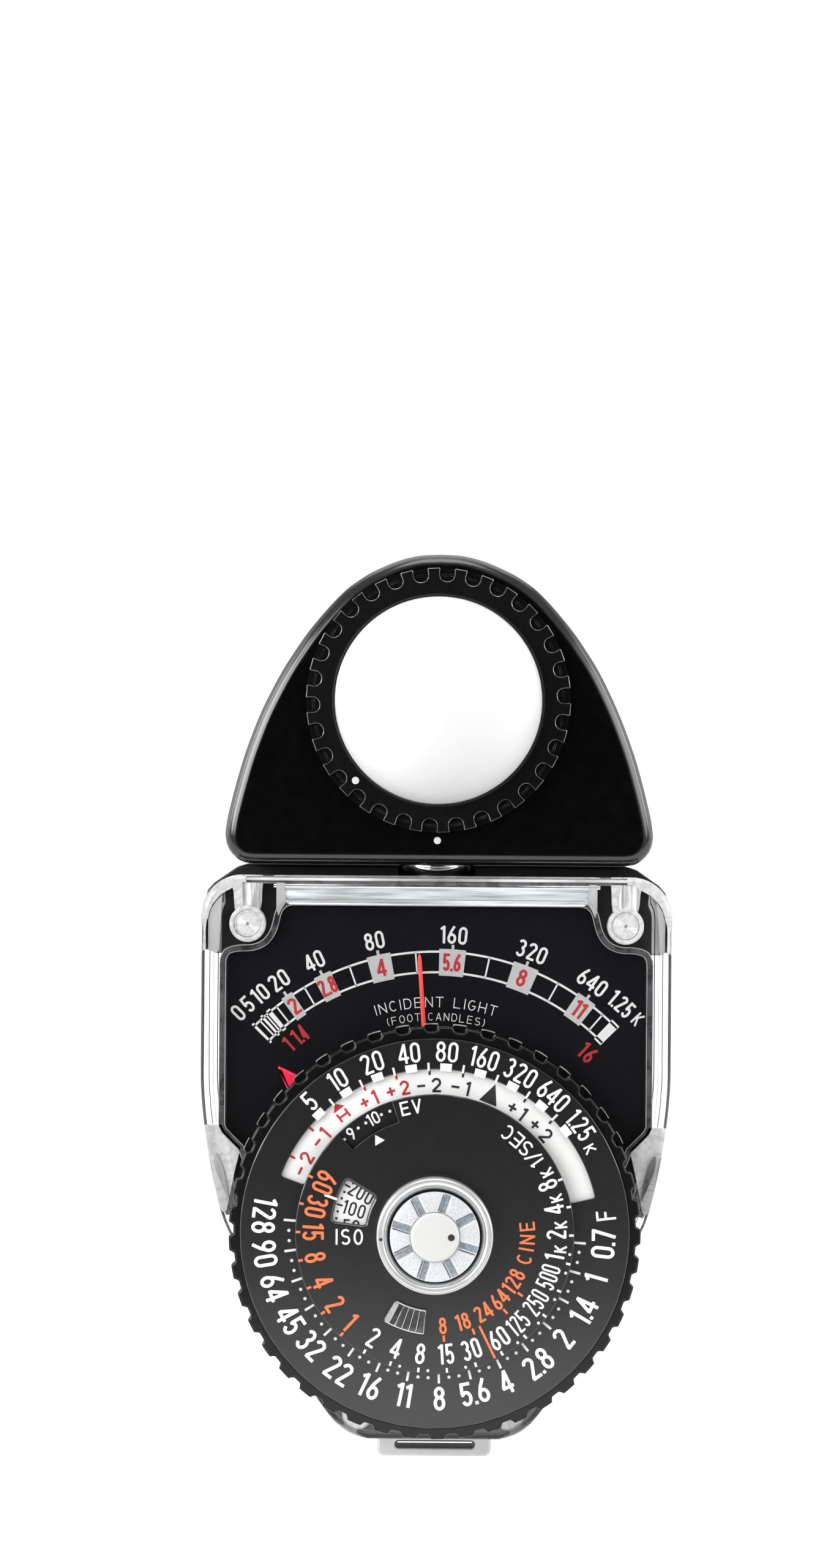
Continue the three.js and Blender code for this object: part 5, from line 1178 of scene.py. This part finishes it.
put("1 1.4", 2.15, 483.5, 1696, "red", w=0.30, t=0.15, gap=0.07)
put("16", 2.2, 960.0, 1716.2, "red", w=0.45, t=0.15)
put("INCIDENT LIGHT", 1.3, 712.8, 1635.2, "white", w=0.74, t=0.085, gap=0.29)
put("(FOOT CANDLES)", 0.98, 712.8, 1659.0, "white", w=0.70, t=0.085, gap=0.30)
ink.done("scale_print")

# ------------------------------------------------------------------ floor, light, camera
fl = bpy.data.meshes.new("floor")
fl.from_pydata([(-2, -0.155, 0), (2, -0.155, 0), (2, 2, 0), (-2, 2, 0)], [], [(0, 1, 2, 3)])
floor = bpy.data.objects.new("floor", fl)
bpy.context.scene.collection.objects.link(floor)
fm, nt, bsdf, out = nodes_of("pale_floor")
bsdf.inputs["Base Color"].default_value = (0.22, 0.22, 0.22, 1)
bsdf.inputs["Roughness"].default_value = 0.9
bsdf.inputs["Specular IOR Level"].default_value = 0.1
bsdf.inputs["Emission Color"].default_value = (1, 1, 1, 1)
bsdf.inputs["Emission Strength"].default_value = 0.98
fl.materials.append(fm)

world = bpy.data.worlds.new("studio")
bpy.context.scene.world = world
world.use_nodes = True
wt = world.node_tree
bg = wt.nodes["Background"]
tc = wt.nodes.new("ShaderNodeTexCoord")


def lobe(direction, inner, outer, value):
    """Soft-edged round light in the sky: full strength within inner degrees of the direction, none past outer."""
    d = Vector(direction).normalized()
    dp = wt.nodes.new("ShaderNodeVectorMath")
    dp.operation = 'DOT_PRODUCT'
    wt.links.new(tc.outputs["Generated"], dp.inputs[0])
    dp.inputs[1].default_value = d
    r = wt.nodes.new("ShaderNodeMapRange")
    r.interpolation_type = 'SMOOTHSTEP'
    r.inputs["From Min"].default_value, r.inputs["From Max"].default_value = math.cos(rad(outer)), math.cos(rad(inner))
    r.inputs["To Min"].default_value, r.inputs["To Max"].default_value = 0.0, value
    wt.links.new(dp.outputs["Value"], r.inputs["Value"])
    return r.outputs["Result"]


def math_node(op, a, b):
    m = wt.nodes.new("ShaderNodeMath")
    m.operation = op
    for i, v in enumerate((a, b)):
        if isinstance(v, (int, float)):
            m.inputs[i].default_value = v
        else:
            wt.links.new(v, m.inputs[i])
    return m.outputs[0]


sky = math_node('SUBTRACT', 0.52, lobe((0, -1, 0), 17, 34, 0.50))
for direction, inner, outer, value in (((-0.50, -0.84, 0.20), 6, 14, 5.5), ((-0.78, -0.56, 0.28), 8, 18, 8.5), ((-0.92, -0.10, 0.36), 8, 18, 3.5), ((0.60, -0.76, 0.22), 5, 13, 1.2), ((0.80, -0.54, 0.26), 8, 17, 3.5), ((0.92, -0.10, 0.36), 8, 18, 4.0), ((0.0, -0.5, 0.9), 12, 22, 3.2), ((0, 0.4, 1), 20, 40, 1.5), ((-1, 0.35, 0.2), 15, 35, 1.5), ((1, 0.35, 0.2), 15, 35, 1.3)):
    sky = math_node('ADD', sky, lobe(direction, inner, outer, value))
lp = wt.nodes.new("ShaderNodeLightPath")
mx = wt.nodes.new("ShaderNodeMix")
mx.data_type = 'FLOAT'
wt.links.new(lp.outputs["Is Camera Ray"], mx.inputs["Factor"])
wt.links.new(sky, mx.inputs["A"])
mx.inputs["B"].default_value = 1.0
wt.links.new(mx.outputs["Result"], bg.inputs["Strength"])
bg.inputs["Color"].default_value = (1, 1, 1, 1)

cam_data = bpy.data.cameras.new("camera")
cam = bpy.data.objects.new("camera", cam_data)
bpy.context.scene.collection.objects.link(cam)
cam_data.sensor_fit = 'VERTICAL'
cam_data.sensor_height = 36
cam_data.lens = 7194 / 2560 * 36
cam_data.clip_start, cam_data.clip_end = 0.01, 20
p = rad(TILT)
cam.matrix_world = Matrix(((math.cos(p), -math.sin(p), 0, -0.0037), (0, 0, -1, -0.55), (math.sin(p), math.cos(p), 0, 0.0847), (0, 0, 0, 1)))
bpy.context.scene.camera = cam
bpy.context.scene.view_settings.view_transform = 'Standard'
bpy.context.scene.view_settings.look = 'None'
